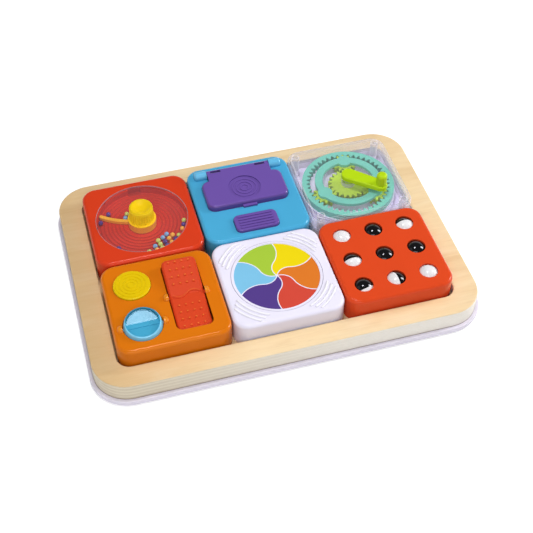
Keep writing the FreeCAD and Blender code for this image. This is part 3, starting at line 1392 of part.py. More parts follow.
def make_push_spring():
    spring = coil("push_button_spring", "Sizes.push_spring_radius", f"{tile_x('switch')} + Sizes.push_x",
                  f"{tile_y('switch')} + Sizes.push_y",
                  f"{TILE_BOTTOM} + {FLANGE_BOTTOM} - Sizes.spring_height")
    keep(spring, "push_button_spring")


def pivot_pins(name, half):
    """Stub pins on both sides of a rocker, on its own X axis."""
    reach = f"({half} + Sizes.rocker_gap + Sizes.rocker_pin_length - Sizes.face_clear)"
    return cross_cylinder(f"{name}_pins", "Sizes.rocker_pin_radius", f"2 * {reach}", f"-{reach}", "0", "0")


def seat_rocker(whole, name, axis_x, axis_y, tilt):
    """Put a rocker, modelled about its own pivot, on its pivot in the module."""
    whole.Placement.Rotation = FreeCAD.Rotation(V(1, 0, 0), tilt)
    place(whole, f"{tile_x('switch')} + {axis_x}", f"{tile_y('switch')} + {axis_y}",
          f"{TILE_BOTTOM} + {ROCKER_AXIS}")
    keep(whole, name)


def valley(name, half_length, half_width, edge_height, floor_height, level=None):
    """A solid whose underside is a shallow V, for cutting a rocker's top. It may be level in the middle."""
    tool = Moulding(name)
    profile = tool.sketch(f"-({half_width})", plane="YZ_Plane")
    high = f"{edge_height} + 4"
    middle = [("0", floor_height)]
    if level:
        middle = [(f"-({level})", floor_height), (level, floor_height)]
    polygon(profile, [
        (f"-({half_length})", edge_height),
        *middle,
        (half_length, edge_height),
        (half_length, high),
        (f"-({half_length})", high),
    ])
    tool.pad(profile, f"2 * ({half_width})")
    return tool.body


def make_round_rocker():
    radius = "Sizes.round_rocker_radius"
    cap = sphere("round_rocker_cap", radius)
    bind(cap, Angle1=f"-asin(Sizes.round_rocker_drop / {radius})",
         Angle2=f"asin(Sizes.round_rocker_rise / {radius})")
    top_radius = f"sqrt(pow({radius}; 2) - pow(Sizes.round_rocker_rise; 2))"
    inner = f"{top_radius} - Sizes.round_rocker_rim"
    top = "Sizes.round_rocker_rise - Sizes.round_rocker_inset"
    floor = f"{top} - Sizes.round_rocker_valley"
    tall = "3 * Sizes.round_rocker_rise"
    strip = "Sizes.round_rocker_fold"
    trough = valley("round_rocker_valley_tool", radius, radius, top, floor, strip)
    hollow = overlap("round_rocker_hollow", trough, cylinder("round_rocker_zone", inner, tall))
    disc = cylinder("round_rocker_panel_zone", f"{inner} - Sizes.round_rocker_border", tall)
    fold = block("round_rocker_fold_zone", f"3 * {radius}", f"2 * {strip}", tall)
    moons = cut("round_rocker_moons", disc, fold)
    depth = "Sizes.round_rocker_panel"
    deeper = valley("round_rocker_panel_tool", radius, radius,
                    f"{top} - {depth}", f"{floor} - {depth}", strip)
    panels = overlap("round_rocker_panels", deeper, moons)
    solid = join("round_rocker_solid", cap, pivot_pins("round_rocker", radius))
    whole = cut("round_rocker_whole", solid, hollow, panels)
    rim = size(top_radius)
    whole = soften(whole, size("Sizes.round_rocker_edge_round"),
                   lambda edge: abs(edge.BoundBox.XMax - rim) < 0.01 and abs(edge.BoundBox.XMin + rim) < 0.01)
    seat_rocker(whole, "round_rocker", "Sizes.round_rocker_x", "Sizes.round_rocker_y",
                size("Sizes.round_rocker_tilt"))


def make_bar_rocker():
    rocker = Moulding("bar_rocker_cap")
    outline = rocker.sketch("-Sizes.bar_rocker_drop")
    rounded_rectangle(outline, "Sizes.bar_rocker_width", "Sizes.bar_rocker_length", "Sizes.bar_rocker_corner")
    rocker.pad(outline, "Sizes.bar_rocker_drop + Sizes.bar_rocker_rise")
    half = "Sizes.bar_rocker_length / 2"
    floor = "(Sizes.bar_rocker_rise - Sizes.bar_rocker_valley)"
    trough = valley("bar_rocker_valley_tool", half, "Sizes.bar_rocker_width", "Sizes.bar_rocker_rise", floor)
    dished = cut("bar_rocker_dished", rocker.body, trough)
    level = size(floor) - 0.01
    fold = size("Sizes.bar_rocker_width / 2") - 0.01
    dished = soften(dished, size("Sizes.bar_rocker_edge_round"), lambda edge: edge.BoundBox.ZMin > level
                    and (edge.BoundBox.XMin > fold - size("Sizes.bar_rocker_corner")
                         or edge.BoundBox.XMax < size("Sizes.bar_rocker_corner") - fold
                         or abs(edge.BoundBox.Center.y) > 1))
    parts = [dished, pivot_pins("bar_rocker", "Sizes.bar_rocker_width / 2")]
    slope = f"(Sizes.bar_rocker_valley / ({half}))"
    bump = "Sizes.bump_radius"
    for side in (-1, 1):
        for row in range(4):
            reach = f"(Sizes.bump_first_y + {row} * Sizes.bump_pitch_y)"
            height = f"{floor} + {slope} * {reach} + Sizes.bump_height - {bump}"
            for column in range(4):
                x = f"({column} - 1.5) * Sizes.bump_pitch_x"
                parts.append(sphere(f"bump_{side + 2}_{row}_{column}", bump, x, f"{side} * {reach}", height))
    wave = doc.addObject("Part::Feature", "bar_rocker_wave")
    wave.Shape = wave_ridge(size(floor))
    parts.append(wave)
    seat_rocker(join("bar_rocker_whole", *parts), "bar_rocker", "Sizes.bar_rocker_x", "Sizes.bar_rocker_y",
                size("Sizes.bar_rocker_tilt"))


def wave_ridge(floor):
    """A low ridge across the rocker's middle, in two opposite bows."""
    half = size("Sizes.wave_half")
    rise = size("Sizes.wave_rise")
    width = size("Sizes.wave_width") / 2
    edges = [Part.makeLine(V(x, -width, 0), V(x, width, 0)) for x in (-half, half)]
    for shift in (width, -width):
        edges.append(Part.Arc(V(-half, shift, 0), V(-half / 2, shift - rise, 0), V(0, shift, 0)).toShape())
        edges.append(Part.Arc(V(0, shift, 0), V(half / 2, shift + rise, 0), V(half, shift, 0)).toShape())
    outline = Part.Wire(Part.__sortEdges__(edges))
    ridge = Part.Face(outline).extrude(V(0, 0, size("Sizes.wave_height") + 0.3))
    ridge.translate(V(0, 0, floor - 0.3))
    return ridge


# Pinwheel module: a flat disc with six coloured inlays

DISC_TOP = f"({TILE_HEIGHT} - Sizes.disc_drop)"
DISC_BOTTOM = f"({DISC_TOP} - Sizes.disc_thickness)"
DISC_PAN = f"({DISC_BOTTOM} - Sizes.face_clear)"


def make_pinwheel_housing():
    shell = tile_shell("pinwheel")
    dish(shell, "Sizes.disc_radius + Sizes.disc_clear", "Sizes.dish_wall", DISC_PAN, "Sizes.dish_floor")
    bearing = shell.sketch(DISC_PAN)
    circle(bearing, "Sizes.disc_axle_radius + Sizes.running_clear")
    shell.pocket(bearing, "Sizes.dish_floor")
    level = f"{TILE_HEIGHT} + Sizes.arc_height - Sizes.arc_round"
    ribs = []
    for quarter in range(4):
        for step in range(3):
            name = f"corner_arc_{quarter}_{step}"
            span = f"(Sizes.arc_first_span - {step} * Sizes.arc_span_step)"
            middle = f"(Sizes.disc_radius + Sizes.arc_inset + {step} * Sizes.arc_step)"
            ring = doc.addObject("Part::Torus", f"{name}_ring")
            bind(ring, Radius1=middle, Radius2="Sizes.arc_round", Angle3=f"2 * {span}")
            heading = 45.0 + 90.0 * quarter
            ring.Placement.Rotation = FreeCAD.Rotation(V(0, 0, 1), heading - size(span))
            pieces = [place(ring, z=level)]
            for side in (-1, 1):
                angle = f"({heading} deg + {side} * {span} * 1 deg)"
                pieces.append(sphere(f"{name}_end_{side + 2}", "Sizes.arc_round",
                                     f"{middle} * cos({angle})", f"{middle} * sin({angle})", level))
            ribs.append(in_tile(join(name, *pieces), "pinwheel"))
    keep(join("pinwheel_housing_whole", shell.body, *ribs), "pinwheel_housing")


def petal_faces(shrink):
    """Six curved sectors of the disc, each drawn in by half a line's width."""
    reach = size("Sizes.disc_radius - Sizes.disc_lip_width - Sizes.petal_rim")
    bend = size("Sizes.petal_bend_radius")
    phase = math.radians(size("Sizes.petal_phase"))
    lean = math.radians(size("Sizes.petal_lean"))
    inner_bow = size("Sizes.petal_inner_bow")
    outer_bow = size("Sizes.petal_outer_bow")

    def spoke(turn):
        middle_angle = phase + turn + lean
        middle = V(math.cos(middle_angle), math.sin(middle_angle), 0) * bend
        tip = V(math.cos(phase + turn), math.sin(phase + turn), 0) * reach
        aside = V(-math.sin(phase + turn), math.cos(phase + turn), 0)
        inner = Part.Arc(V(0, 0, 0), middle * 0.5 + aside * inner_bow, middle)
        outer = Part.Arc(middle, (middle + tip) * 0.5 - aside * outer_bow, tip)
        return inner.toShape(), outer.toShape(), tip

    faces = []
    for petal in range(6):
        turn = math.radians(60.0 * petal)
        first = spoke(turn)
        second = spoke(turn + math.radians(60.0))
        rim_angle = phase + turn + math.radians(30.0)
        rim_middle = V(math.cos(rim_angle), math.sin(rim_angle), 0) * reach
        rim = Part.Arc(first[2], rim_middle, second[2]).toShape()
        outline = Part.Wire(Part.__sortEdges__([first[0], first[1], rim, second[1], second[0]]))
        face = Part.Face(outline)
        faces.append(face.makeOffset2D(-shrink, fill=False, openResult=False, intersection=False))
    return faces


def make_pinwheel_disc():
    disc = Moulding("pinwheel_plate", tile_x("pinwheel"), tile_y("pinwheel"), TILE_BOTTOM)
    plate = disc.sketch(DISC_BOTTOM)
    circle(plate, "Sizes.disc_radius")
    disc.pad(plate, "Sizes.disc_thickness")
    lip = disc.sketch(DISC_TOP)
    circle(lip, "Sizes.disc_radius")
    circle(lip, "Sizes.disc_radius - Sizes.disc_lip_width")
    disc.pad(lip, "Sizes.disc_lip_height")
    foot = f"({DISC_PAN} - Sizes.dish_floor - Sizes.face_clear)"
    axle = disc.sketch(foot)
    circle(axle, "Sizes.disc_axle_radius")
    disc.pad(axle, f"{DISC_BOTTOM} - {foot}")
    bore = disc.sketch(foot)
    circle(bore, "Sizes.screw_radius + Sizes.screw_clear")
    disc.pocket(bore, f"{DISC_BOTTOM} + 1 - {foot}", up=True)
    pockets = doc.addObject("Part::Feature", "petal_pockets")
    pockets.Shape = petal_solids(size("Sizes.petal_depth") + 1)
    in_tile(pockets, "pinwheel")
    keep(cut("pinwheel_disc_whole", disc.body, pockets), "pinwheel_disc")
    petals = doc.addObject("Part::Feature", "pinwheel_petals")
    petals.Shape = petal_solids(size("Sizes.petal_depth"))
    keep(in_tile(petals, "pinwheel"), "pinwheel_petals")
    head_bottom = f"({foot} - Sizes.axle_screw_head_height)"
    stem = f"({DISC_BOTTOM} - {foot})"
    whole = screw("pinwheel_screw", "0", "0", head_bottom, "Sizes.axle_screw_head",
                  "Sizes.axle_screw_head_height", "Sizes.screw_radius", stem)
    keep(in_tile(whole, "pinwheel"), "pinwheel_screw")


def petal_solids(tall):
    base = size(f"{DISC_TOP} - Sizes.petal_depth")
    solids = []
    for face in petal_faces(size("Sizes.petal_line / 2")):
        solid = face.extrude(V(0, 0, tall))
        solid.translate(V(0, 0, base))
        solids += solid.Solids
    return Part.makeCompound(solids)


# Ball module: nine two-colour balls that roll in round holes

BALL_MIDDLE = f"({TILE_HEIGHT} + Sizes.ball_rise - Sizes.ball_radius)"
BALL_SEAT = "(Sizes.ball_radius + Sizes.ball_clear)"
BALL_GRID = [(column, row) for row in (1, 0, -1) for column in (-1, 0, 1)]
# How each ball lies: tilt of its white half from upright, then its turn about Z
BALL_POSES = ((6, 40), (176, 200), (82, 0), (90, 0), (160, -45), (178, 30), (120, 15), (88, -84), (10, 150))


def ball_places():
    return [(f"{column} * Sizes.ball_pitch", f"{row} * Sizes.ball_pitch") for column, row in BALL_GRID]


def seats(name):
    spheres = []
    for number, (x, y) in enumerate(ball_places(), start=1):
        spheres.append(sphere(f"{name}_{number}", BALL_SEAT, x, y, BALL_MIDDLE))
    return in_tile(group(name, spheres), "ball")


def make_ball_housing():
    shell = tile_shell("ball")
    sleeves = shell.sketch(f"{CEILING} - Sizes.ball_sleeve_drop")
    for x, y in ball_places():
        circle(sleeves, f"{BALL_SEAT} + Sizes.ball_sleeve_wall", x, y)
    shell.pad(sleeves, "Sizes.ball_sleeve_drop")
    holes = shell.sketch(TILE_HEIGHT)
    for x, y in ball_places():
        circle(holes, "Sizes.ball_hole_radius", x, y)
    shell.pocket(holes, f"{TILE_HEIGHT} - {BALL_MIDDLE}")
    wells = shell.sketch(f"{CEILING} - Sizes.ball_sleeve_drop")
    for x, y in ball_places():
        circle(wells, BALL_SEAT, x, y)
    shell.pocket(wells, f"{BALL_MIDDLE} - ({CEILING} - Sizes.ball_sleeve_drop)", up=True)
    keep(cut("ball_housing_whole", shell.body, seats("ball_housing_seats")), "ball_housing")


def make_ball_back_cover():
    cover = back_cover("ball")
    cups = cover.sketch(COVER_TOP)
    for x, y in ball_places():
        circle(cups, "Sizes.ball_cup_radius", x, y)
    cover.pad(cups, f"{BALL_MIDDLE} - Sizes.ball_radius + Sizes.ball_cup_rise - {COVER_TOP}")
    keep(cut("ball_back_cover_whole", cover.body, seats("ball_cover_seats")), "ball_back_cover")


def make_balls():
    for number, ((x, y), (tilt, turn)) in enumerate(zip(ball_places(), BALL_POSES), start=1):
        halves = []
        for colour, low, high in (("white", 0, 90), ("black", -90, 0)):
            half = doc.addObject("Part::Sphere", f"ball_{number}_{colour}")
            bind(half, Radius="Sizes.ball_radius")
            half.Angle1 = low
            half.Angle2 = high
            halves.append(half)
        ball = group(f"ball_{number}", halves)
        upright = FreeCAD.Rotation(V(1, 0, 0), tilt)
        ball.Placement.Rotation = FreeCAD.Rotation(V(0, 0, 1), turn).multiply(upright)
        place(ball, f"{tile_x('ball')} + {x}", f"{tile_y('ball')} + {y}", f"{TILE_BOTTOM} + {BALL_MIDDLE}")
        keep(ball, f"ball_{number}")


make_wood_frame()
make_base_tray()
make_tray_screws()
for tile in PLACES:
    tile_screws(tile)
make_bead_housing()
keep(back_cover("bead").body, "bead_back_cover")
make_bead_window()
make_spinner_knob()
make_sweeper_arm()
make_beads()
axle_screw("spinner_screw", "bead")
make_lid_housing()
make_lid_back_cover()
make_lid_mirror()
make_flip_lid()
make_lid_hinge_pin()
make_release_button()
make_release_springs()
make_gear_housing()
make_gear_back_cover()
make_gears()
make_planet_carrier()
make_crank_handle()
make_switch_housing()
make_switch_back_cover()
make_push_button()
make_push_spring()
make_round_rocker()
make_bar_rocker()
make_pinwheel_housing()
keep(back_cover("pinwheel").body, "pinwheel_back_cover")
make_pinwheel_disc()
make_ball_housing()
make_ball_back_cover()
make_balls()
doc.recompute()

for thing in doc.Objects:
    if "Invalid" in thing.State or "Error" in thing.State:
        raise RuntimeError(f"{thing.Name} could not be built")
for node in nodes:
    if node.Shape.isNull() or not node.Shape.isValid() or not node.Shape.Solids:
        raise RuntimeError(f"{node.Label} has no valid solid")

os.makedirs("parts", exist_ok=True)
for node in nodes:
    node.Shape.exportStep(f"parts/{node.Label}.step")
print(len(nodes), "sub-parts written")
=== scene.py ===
import math

import bmesh
import bpy
from mathutils import Matrix, Vector


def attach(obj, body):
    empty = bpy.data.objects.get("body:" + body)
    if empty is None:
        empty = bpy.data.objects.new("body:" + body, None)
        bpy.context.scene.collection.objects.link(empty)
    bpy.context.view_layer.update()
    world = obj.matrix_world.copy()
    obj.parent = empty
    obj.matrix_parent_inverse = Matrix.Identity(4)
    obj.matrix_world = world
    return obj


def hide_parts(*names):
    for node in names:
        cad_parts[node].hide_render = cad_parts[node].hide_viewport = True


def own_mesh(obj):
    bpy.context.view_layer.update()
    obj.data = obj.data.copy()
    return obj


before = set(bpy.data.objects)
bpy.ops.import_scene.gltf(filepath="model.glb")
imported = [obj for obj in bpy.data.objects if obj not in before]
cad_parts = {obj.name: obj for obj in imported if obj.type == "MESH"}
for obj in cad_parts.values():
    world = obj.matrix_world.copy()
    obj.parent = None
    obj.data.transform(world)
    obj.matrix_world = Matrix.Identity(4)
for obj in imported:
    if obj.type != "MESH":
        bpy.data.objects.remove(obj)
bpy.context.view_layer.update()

# Lengths are in metres. The board lies on z = 0 and its long side runs along X.
MM = 0.001
TILE_PITCH = 104 * MM
TILE_BOTTOM = 14.2 * MM
TILE_HEIGHT = 26 * MM
TILE_TOP = TILE_BOTTOM + TILE_HEIGHT
TILE_SIDE = 103.2 * MM
TILE_CORNER = 14 * MM
SCREW_OFFSET = 42 * MM
WOOD_LEFT = -179.2 * MM

# Bead module. Heights are above the module's underside, and KNOB_TAPER is radius lost per height.
DISH_RADIUS = 42.4 * MM
DISH_FLOOR = TILE_HEIGHT - 8.5 * MM
RING_FIRST = 17.6 * MM
RING_STEP = 3.6 * MM
RING_HEIGHT = 0.4 * MM
RINGS_FROM = 16.5 * MM
RINGS_TO = 41.0 * MM
NOTCH_HALF = 6.0 * MM
NOTCH_FROM = 40 * MM
NOTCH_TO = 47 * MM
HUB_RADIUS = 13.4 * MM
KNOB_FOOT_RADIUS = 11.9 * MM
KNOB_TAPER = 0.8 / 14.9
BEAD_RADIUS = 2.3 * MM
BEAD_LIFT = 0.1 * MM
BEAD_WALL_GAP = 0.4 * MM

# Gear module. The gears' upper faces lie GEAR_TOP above the floor.
GEAR_TOP = 33.2 * MM
RING_GEAR_ROOT = 42 * MM
POST_INNER = 2.9 * MM
POST_OUTER = 3.9 * MM
COLLAR_INNER = 5.6 * MM
COLLAR_OUTER = 7.2 * MM

# Switch module. BUMP_FIRST is the first row's distance from the rocker's middle line.
ROCKER_RIM = 15.1 * MM
BAR_HALF_WIDTH = 12.4 * MM
BAR_TILT = math.radians(9.2)
BUMP_PITCH_X = 6.15 * MM
BUMP_PITCH_Y = 7.4 * MM
BUMP_FIRST = 11.3 * MM
WAVE_HALF_LENGTH = 12.6 * MM
WAVE_BOW = 2.6 * MM

# Ball module. The balls stand BALL_PROUD above the module's face.
BALL_RADIUS = 10.4 * MM
BALL_PITCH = 31.3 * MM
BALL_PROUD = 2.1 * MM


def tile_middle(column, row):
    """Middle of a module's underside. Columns are -1, 0, 1 and rows are -1 (front), 1 (back)."""
    return Vector((column * TILE_PITCH, row * TILE_PITCH / 2, TILE_BOTTOM))


BEAD_TILE = tile_middle(-1, 1)
GEAR_TILE = tile_middle(1, 1)
SWITCH_TILE = tile_middle(-1, -1)
PINWHEEL_TILE = tile_middle(0, -1)
BALL_TILE = tile_middle(1, -1)
ROUND_ROCKER = SWITCH_TILE + Vector((-24.4 * MM, -24 * MM, 0))
BAR_ROCKER = SWITCH_TILE + Vector((20 * MM, 0.5 * MM, 0))

# Colours. Two of them are what painted highlights gain on warm or on cool plastic.
RED = (0.65, 0.046, 0.012)
BALL_RED = (0.69, 0.064, 0.014)
BLUE = (0.067, 0.39, 0.65)
ORANGE = (0.68, 0.17, 0.003)
LAVENDER = (0.80, 0.77, 0.91)
GEAR_LAVENDER = (0.82, 0.76, 1.0)
TRAY_WHITE = (0.88, 0.83, 0.95)
YELLOW = (0.74, 0.52, 0.001)
KNOB_YELLOW = (0.82, 0.55, 0.004)
AMBER = (0.93, 0.60, 0.025)
PURPLE = (0.150, 0.082, 0.37)
AQUA = (0.17, 0.58, 0.48)
LIME = (0.45, 0.67, 0.006)
# Paler than the crank's lime: partly the gears' own tone, partly painted light against the shade under the
# carrier
GEAR_LIME = (0.50, 0.70, 0.06)
CLEAR_TINT = (0.95, 0.92, 1.0)
WINDOW_TINT = (0.86, 0.80, 0.86)
SKY = (0.06, 0.37, 0.58)
SCARLET = (0.63, 0.052, 0.012)
STEEL = (0.56, 0.56, 0.58)
WHITE = (0.80, 0.79, 0.81)
BLACK = (0.005, 0.005, 0.006)
# What painted highlights gain, on warm plastic and on cool plastic
WARM_HIGHLIGHT = (0.12, 0.15, 0.02)
COOL_HIGHLIGHT = (0.13, 0.15, 0.15)
BEAD_COLOURS = {
    "purple": (0.10, 0.055, 0.24),
    "green": (0.62, 0.90, 0.16),
    "blue": (0.22, 0.56, 0.72),
    "orange": (0.95, 0.58, 0.06),
}
PETAL_COLOURS = {
    "yellow": (0.82, 0.65, 0.004),
    "orange": (0.70, 0.185, 0.020),
    "red": (0.62, 0.065, 0.040),
    "purple": (0.085, 0.045, 0.24),
    "blue": (0.20, 0.52, 0.76),
    "green": (0.37, 0.56, 0.045),
}


# Materials: maths on sockets reads as maths

class Value:
    """An output socket of a node tree. An expression on values adds its Math nodes."""

    def __init__(self, nodes, socket):
        self.nodes = nodes
        self.socket = socket

    def maths(self, operation, *values):
        return self.nodes.node("ShaderNodeMath", {"operation": operation}, *values)

    def __add__(self, other):
        return self.maths("ADD", self, other)

    def __sub__(self, other):
        return self.maths("SUBTRACT", self, other)

    def __mul__(self, other):
        return self.maths("MULTIPLY", self, other)

    def __truediv__(self, other):
        return self.maths("DIVIDE", self, other)

    def __radd__(self, other):
        return self.maths("ADD", other, self)

    def __rsub__(self, other):
        return self.maths("SUBTRACT", other, self)

    def __rmul__(self, other):
        return self.maths("MULTIPLY", other, self)

    def __rtruediv__(self, other):
        return self.maths("DIVIDE", other, self)

    def __abs__(self):
        return self.maths("ABSOLUTE", self)

    def __mod__(self, other):
        return self.maths("FLOORED_MODULO", self, other)

    def __gt__(self, other):
        return self.maths("GREATER_THAN", self, other)

    def at_least(self, other):
        return self.maths("MAXIMUM", self, other)

    def at_most(self, other):
        return self.maths("MINIMUM", self, other)

    def root(self):
        return self.maths("SQRT", self)

    def sine(self):
        return self.maths("SINE", self)

    def step(self, low, high):
        """0 below low, 1 above high, smooth between."""
        settings = {"interpolation_type": "SMOOTHSTEP"}
        return self.nodes.node("ShaderNodeMapRange", settings, Value=self, From_Min=low, From_Max=high)

    def band(self, low, high, soft):
        """1 between low and high, falling to 0 over a soft length on both sides."""
        return self.step(low - soft, low) * (1.0 - self.step(high, high + soft))


class Nodes:
    """A node tree, of a material or of the world."""

    def __init__(self, tree):
        self.tree = tree

    def set(self, node, inputs):
        for name, value in inputs.items():
            self.feed(node.inputs[name.replace("_", " ")], value)

    def feed(self, socket, value):
        if isinstance(value, Value):
            self.tree.links.new(value.socket, socket)
        elif socket.type == "RGBA" and len(value) == 3:
            socket.default_value = (*value, 1.0)
        else:
            socket.default_value = value

    def node(self, kind, settings=None, *ordered, **inputs):
        """Add a node: its settings first, then the values or links of its sockets."""
        node = self.tree.nodes.new(kind)
        for name, value in (settings or {}).items():
            setattr(node, name, value)
        enabled = [socket for socket in node.inputs if socket.enabled]
        for socket, value in zip(enabled, ordered):
            self.feed(socket, value)
        for name, value in inputs.items():
            socket = next(one for one in enabled if one.name == name.replace("_", " "))
            self.feed(socket, value)
        first = next(socket for socket in node.outputs if socket.enabled)
        return Value(self, first)

    def outputs(self, kind):
        """A node without inputs to set, as its outputs by name."""
        return {socket.name: Value(self, socket) for socket in self.tree.nodes.new(kind).outputs}

    def axes(self, vector):
        """A vector's three parts."""
        node = self.tree.nodes.new("ShaderNodeSeparateXYZ")
        self.feed(node.inputs[0], vector)
        return [Value(self, socket) for socket in node.outputs]


class Finish(Nodes):
    """A material whose shader's sockets are set by name."""

    def __init__(self, name, **constants):
        self.material = bpy.data.materials.new(name)
        self.material.use_nodes = True
        super().__init__(self.material.node_tree)
        self.tree.nodes.clear()
        self.output = self.tree.nodes.new("ShaderNodeOutputMaterial")
        self.shader = self.tree.nodes.new("ShaderNodeBsdfPrincipled")
        self.tree.links.new(self.shader.outputs[0], self.output.inputs["Surface"])
        self.set(self.shader, constants)

    def vary(self, **sockets):
        """Feed the shader's sockets that change over the surface."""
        self.set(self.shader, sockets)

    def point(self, scale=(1.0, 1.0, 1.0), middle=(0.0, 0.0, 0.0)):
        """Object coordinates, moved to a middle and then stretched."""
        shift = [-m * s for m, s in zip(middle, scale)]
        return self.node("ShaderNodeMapping", {"vector_type": "POINT"}, Location=shift, Scale=scale,
                         Vector=self.outputs("ShaderNodeTexCoord")["Object"])

    def height(self):
        """Height above the floor at rest."""
        return self.axes(self.point())[2]

    def upward(self):
        """How far the surface faces up: 1 level, 0 upright, -1 facing down."""
        return self.axes(self.outputs("ShaderNodeNewGeometry")["Normal"])[2]

    def radius(self, middle):
        """Distance from an upright axis through a middle."""
        x, y, _ = self.axes(self.point(middle=middle))
        return (x * x + y * y).root()

    def noise(self, vector, scale, detail=3.0, roughness=0.5):
        return self.node("ShaderNodeTexNoise", None, Vector=vector, Scale=scale, Detail=detail,
                         Roughness=roughness)

    def grain(self, stretch, detail, roughness=0.5, middle=(0.0, 0.0, 0.0)):
        """Noise with a stretch of its own along each axis."""
        return self.noise(self.point(stretch, middle), 1.0, detail, roughness)

    def mix(self, factor, first, second):
        settings = {"data_type": "RGBA", "clamp_factor": True}
        return self.node("ShaderNodeMix", settings, Factor=factor, A=first, B=second)

    def bump(self, height, strength, distance):
        return self.node("ShaderNodeBump", None, Height=height, Strength=strength, Distance=distance)

    def see_through(self, solid, tint=(1.0, 1.0, 1.0)):
        """Let light straight through where the factor solid is below 1."""
        passing = self.node("ShaderNodeBsdfTransparent", None, Color=tint)
        either = self.node("ShaderNodeMixShader", None, solid, passing, Value(self, self.shader.outputs[0]))
        self.feed(self.output.inputs["Surface"], either)


def shade(colour, factor):
    """A colour made darker or paler, and at most white."""
    return tuple(min(1.0, channel * factor) for channel in colour)


def moulded(name, colour, roughness=0.22, gloss=0.3, painted_shade=None, painted_highlight=None, highlight_gain=WARM_HIGHLIGHT):
    """Glossy moulded plastic: faint flow marks, uneven gloss and a fine skin.

    The rules give factors, 0 to 1, for painted shade, which darkens the colour, and for painted highlights,
    which pale it; the last argument is the colour that painted highlights gain.
    """
    brightest = max(colour)
    sheen = [0.5 + 0.5 * channel / brightest for channel in colour]
    finish = Finish(name, Specular_IOR_Level=gloss, Specular_Tint=sheen)
    where = finish.point()
    flow = finish.noise(where, scale=38.0, detail=2.0)
    tone = finish.mix(flow, shade(colour, 0.95), shade(colour, 1.05))
    if painted_shade:
        # painted shade: darker where the first rule says
        tone = finish.mix(painted_shade(finish), tone, shade(colour, 0.35))
    if painted_highlight:
        # painted highlight: paler where the second rule says
        paler = [channel + gain for channel, gain in zip(colour, highlight_gain)]
        tone = finish.mix(painted_highlight(finish), tone, shade(paler, 1.1))
    smudge = finish.noise(where, scale=140.0, detail=4.0, roughness=0.6)
    skin = finish.noise(where, scale=2600.0, detail=2.0)
    finish.vary(Base_Color=tone, Roughness=roughness - 0.04 + smudge * 0.08,
                Normal=finish.bump(skin, 0.06, 0.1 * MM))
    return finish.material


# Rules for painted shade, which darkens a moulding, and painted highlights, which pale it

def steepness(finish):
    """1 on upright surfaces, 0 on level ones."""
    return 1.0 - abs(finish.upward()).step(0.3, 0.8)


def raised_part_highlights(finish):
    """Painted highlight on what stands above the module's face, such as hinge bosses."""
    return finish.height().step(TILE_TOP + 0.6 * MM, TILE_TOP + 2.6 * MM) * 0.4


def ridge_side_shade(finish):
    """Painted shade on the sloping sides of what stands above a module's face: ridges, ripples and the lid.
    """
    above = finish.height().step(TILE_TOP + 0.05 * MM, TILE_TOP + 0.25 * MM)
    return above * (1.0 - finish.upward().step(0.75, 0.97)) * 0.4


def ridge_top_highlights(finish):
    """Painted highlights on the crests of the ridges on the pinwheel module's corners."""
    return finish.height().step(TILE_TOP + 0.3 * MM, TILE_TOP + 0.5 * MM) * 0.45


def tray_shade(finish):
    """Painted shade on the base's upright sides, and on the whole of its left rim."""
    x = finish.axes(finish.point())[0]
    left_rim_shade = 1.0 - x.step(WOOD_LEFT - 1.8 * MM, WOOD_LEFT + 7.2 * MM)
    return (steepness(finish) * 0.15).at_least(left_rim_shade * 0.3)


def dish_ring_shade(finish):
    """Painted shade on the outer sides of the shallow rings on the bead dish's floor, and in the notch
    behind them.
    """
    x, y, z = finish.axes(finish.point(middle=BEAD_TILE))
    reach = finish.radius(BEAD_TILE)
    side = ((reach - RING_FIRST) / RING_STEP % 1.0).band(0.2, 0.4, 0.2)
    low = 1.0 - z.step(DISH_FLOOR + 1.8 * MM, DISH_FLOOR + 2.8 * MM)
    rings = side * reach.band(RINGS_FROM, RINGS_TO, 0.5 * MM) * low
    wide = 1.0 - abs(x).step(NOTCH_HALF, NOTCH_HALF + 0.4 * MM)
    behind = y.step(NOTCH_FROM, NOTCH_FROM + 0.6 * MM) * reach.band(NOTCH_FROM, NOTCH_TO, 0.2 * MM)
    sunk = 1.0 - z.step(TILE_HEIGHT - 0.6 * MM, TILE_HEIGHT - 0.3 * MM)
    return rings * 0.3 + wide * behind * sunk * 0.3


def knob_flute_shade(finish):
    """Painted shade in the flutes, by their depth below the knob's tapered side."""
    side = KNOB_FOOT_RADIUS - (finish.height() - TILE_TOP) * KNOB_TAPER
    return (side - finish.radius(BEAD_TILE)).band(0.3 * MM, 1.3 * MM, 0.3 * MM) * 0.2


def knob_side_highlight(finish):
    """Painted light on the knob's upright side."""
    return steepness(finish) * 0.9


def ring_teeth_shade(finish):
    """Painted shade on the ring gear below its upper face, from its teeth inwards."""
    below = 1.0 - finish.height().step(GEAR_TOP - 2.2 * MM, GEAR_TOP)
    inwards = 1.0 - finish.radius(GEAR_TILE).step(RING_GEAR_ROOT, RING_GEAR_ROOT + 1 * MM)
    return below * inwards * 0.45


def wheel_teeth_shade(finish):
    """Painted shade on the sides of the sun and planet gears."""
    return (1.0 - finish.height().step(GEAR_TOP - 3.4 * MM, GEAR_TOP - 1.2 * MM)) * 0.5


def rocker_rim_highlight(finish):
    """Painted highlight on the round rocker's raised border."""
    return finish.radius(ROUND_ROCKER).step(ROCKER_RIM, ROCKER_RIM + 0.4 * MM)


def rocker_back_shade(finish):
    """Painted shade on the round rocker's back panel, darkening it under its glare."""
    y = finish.axes(finish.point(middle=ROUND_ROCKER))[1]
    return y.step(2.0 * MM, 2.5 * MM) * (1.0 - rocker_rim_highlight(finish)) * 0.6


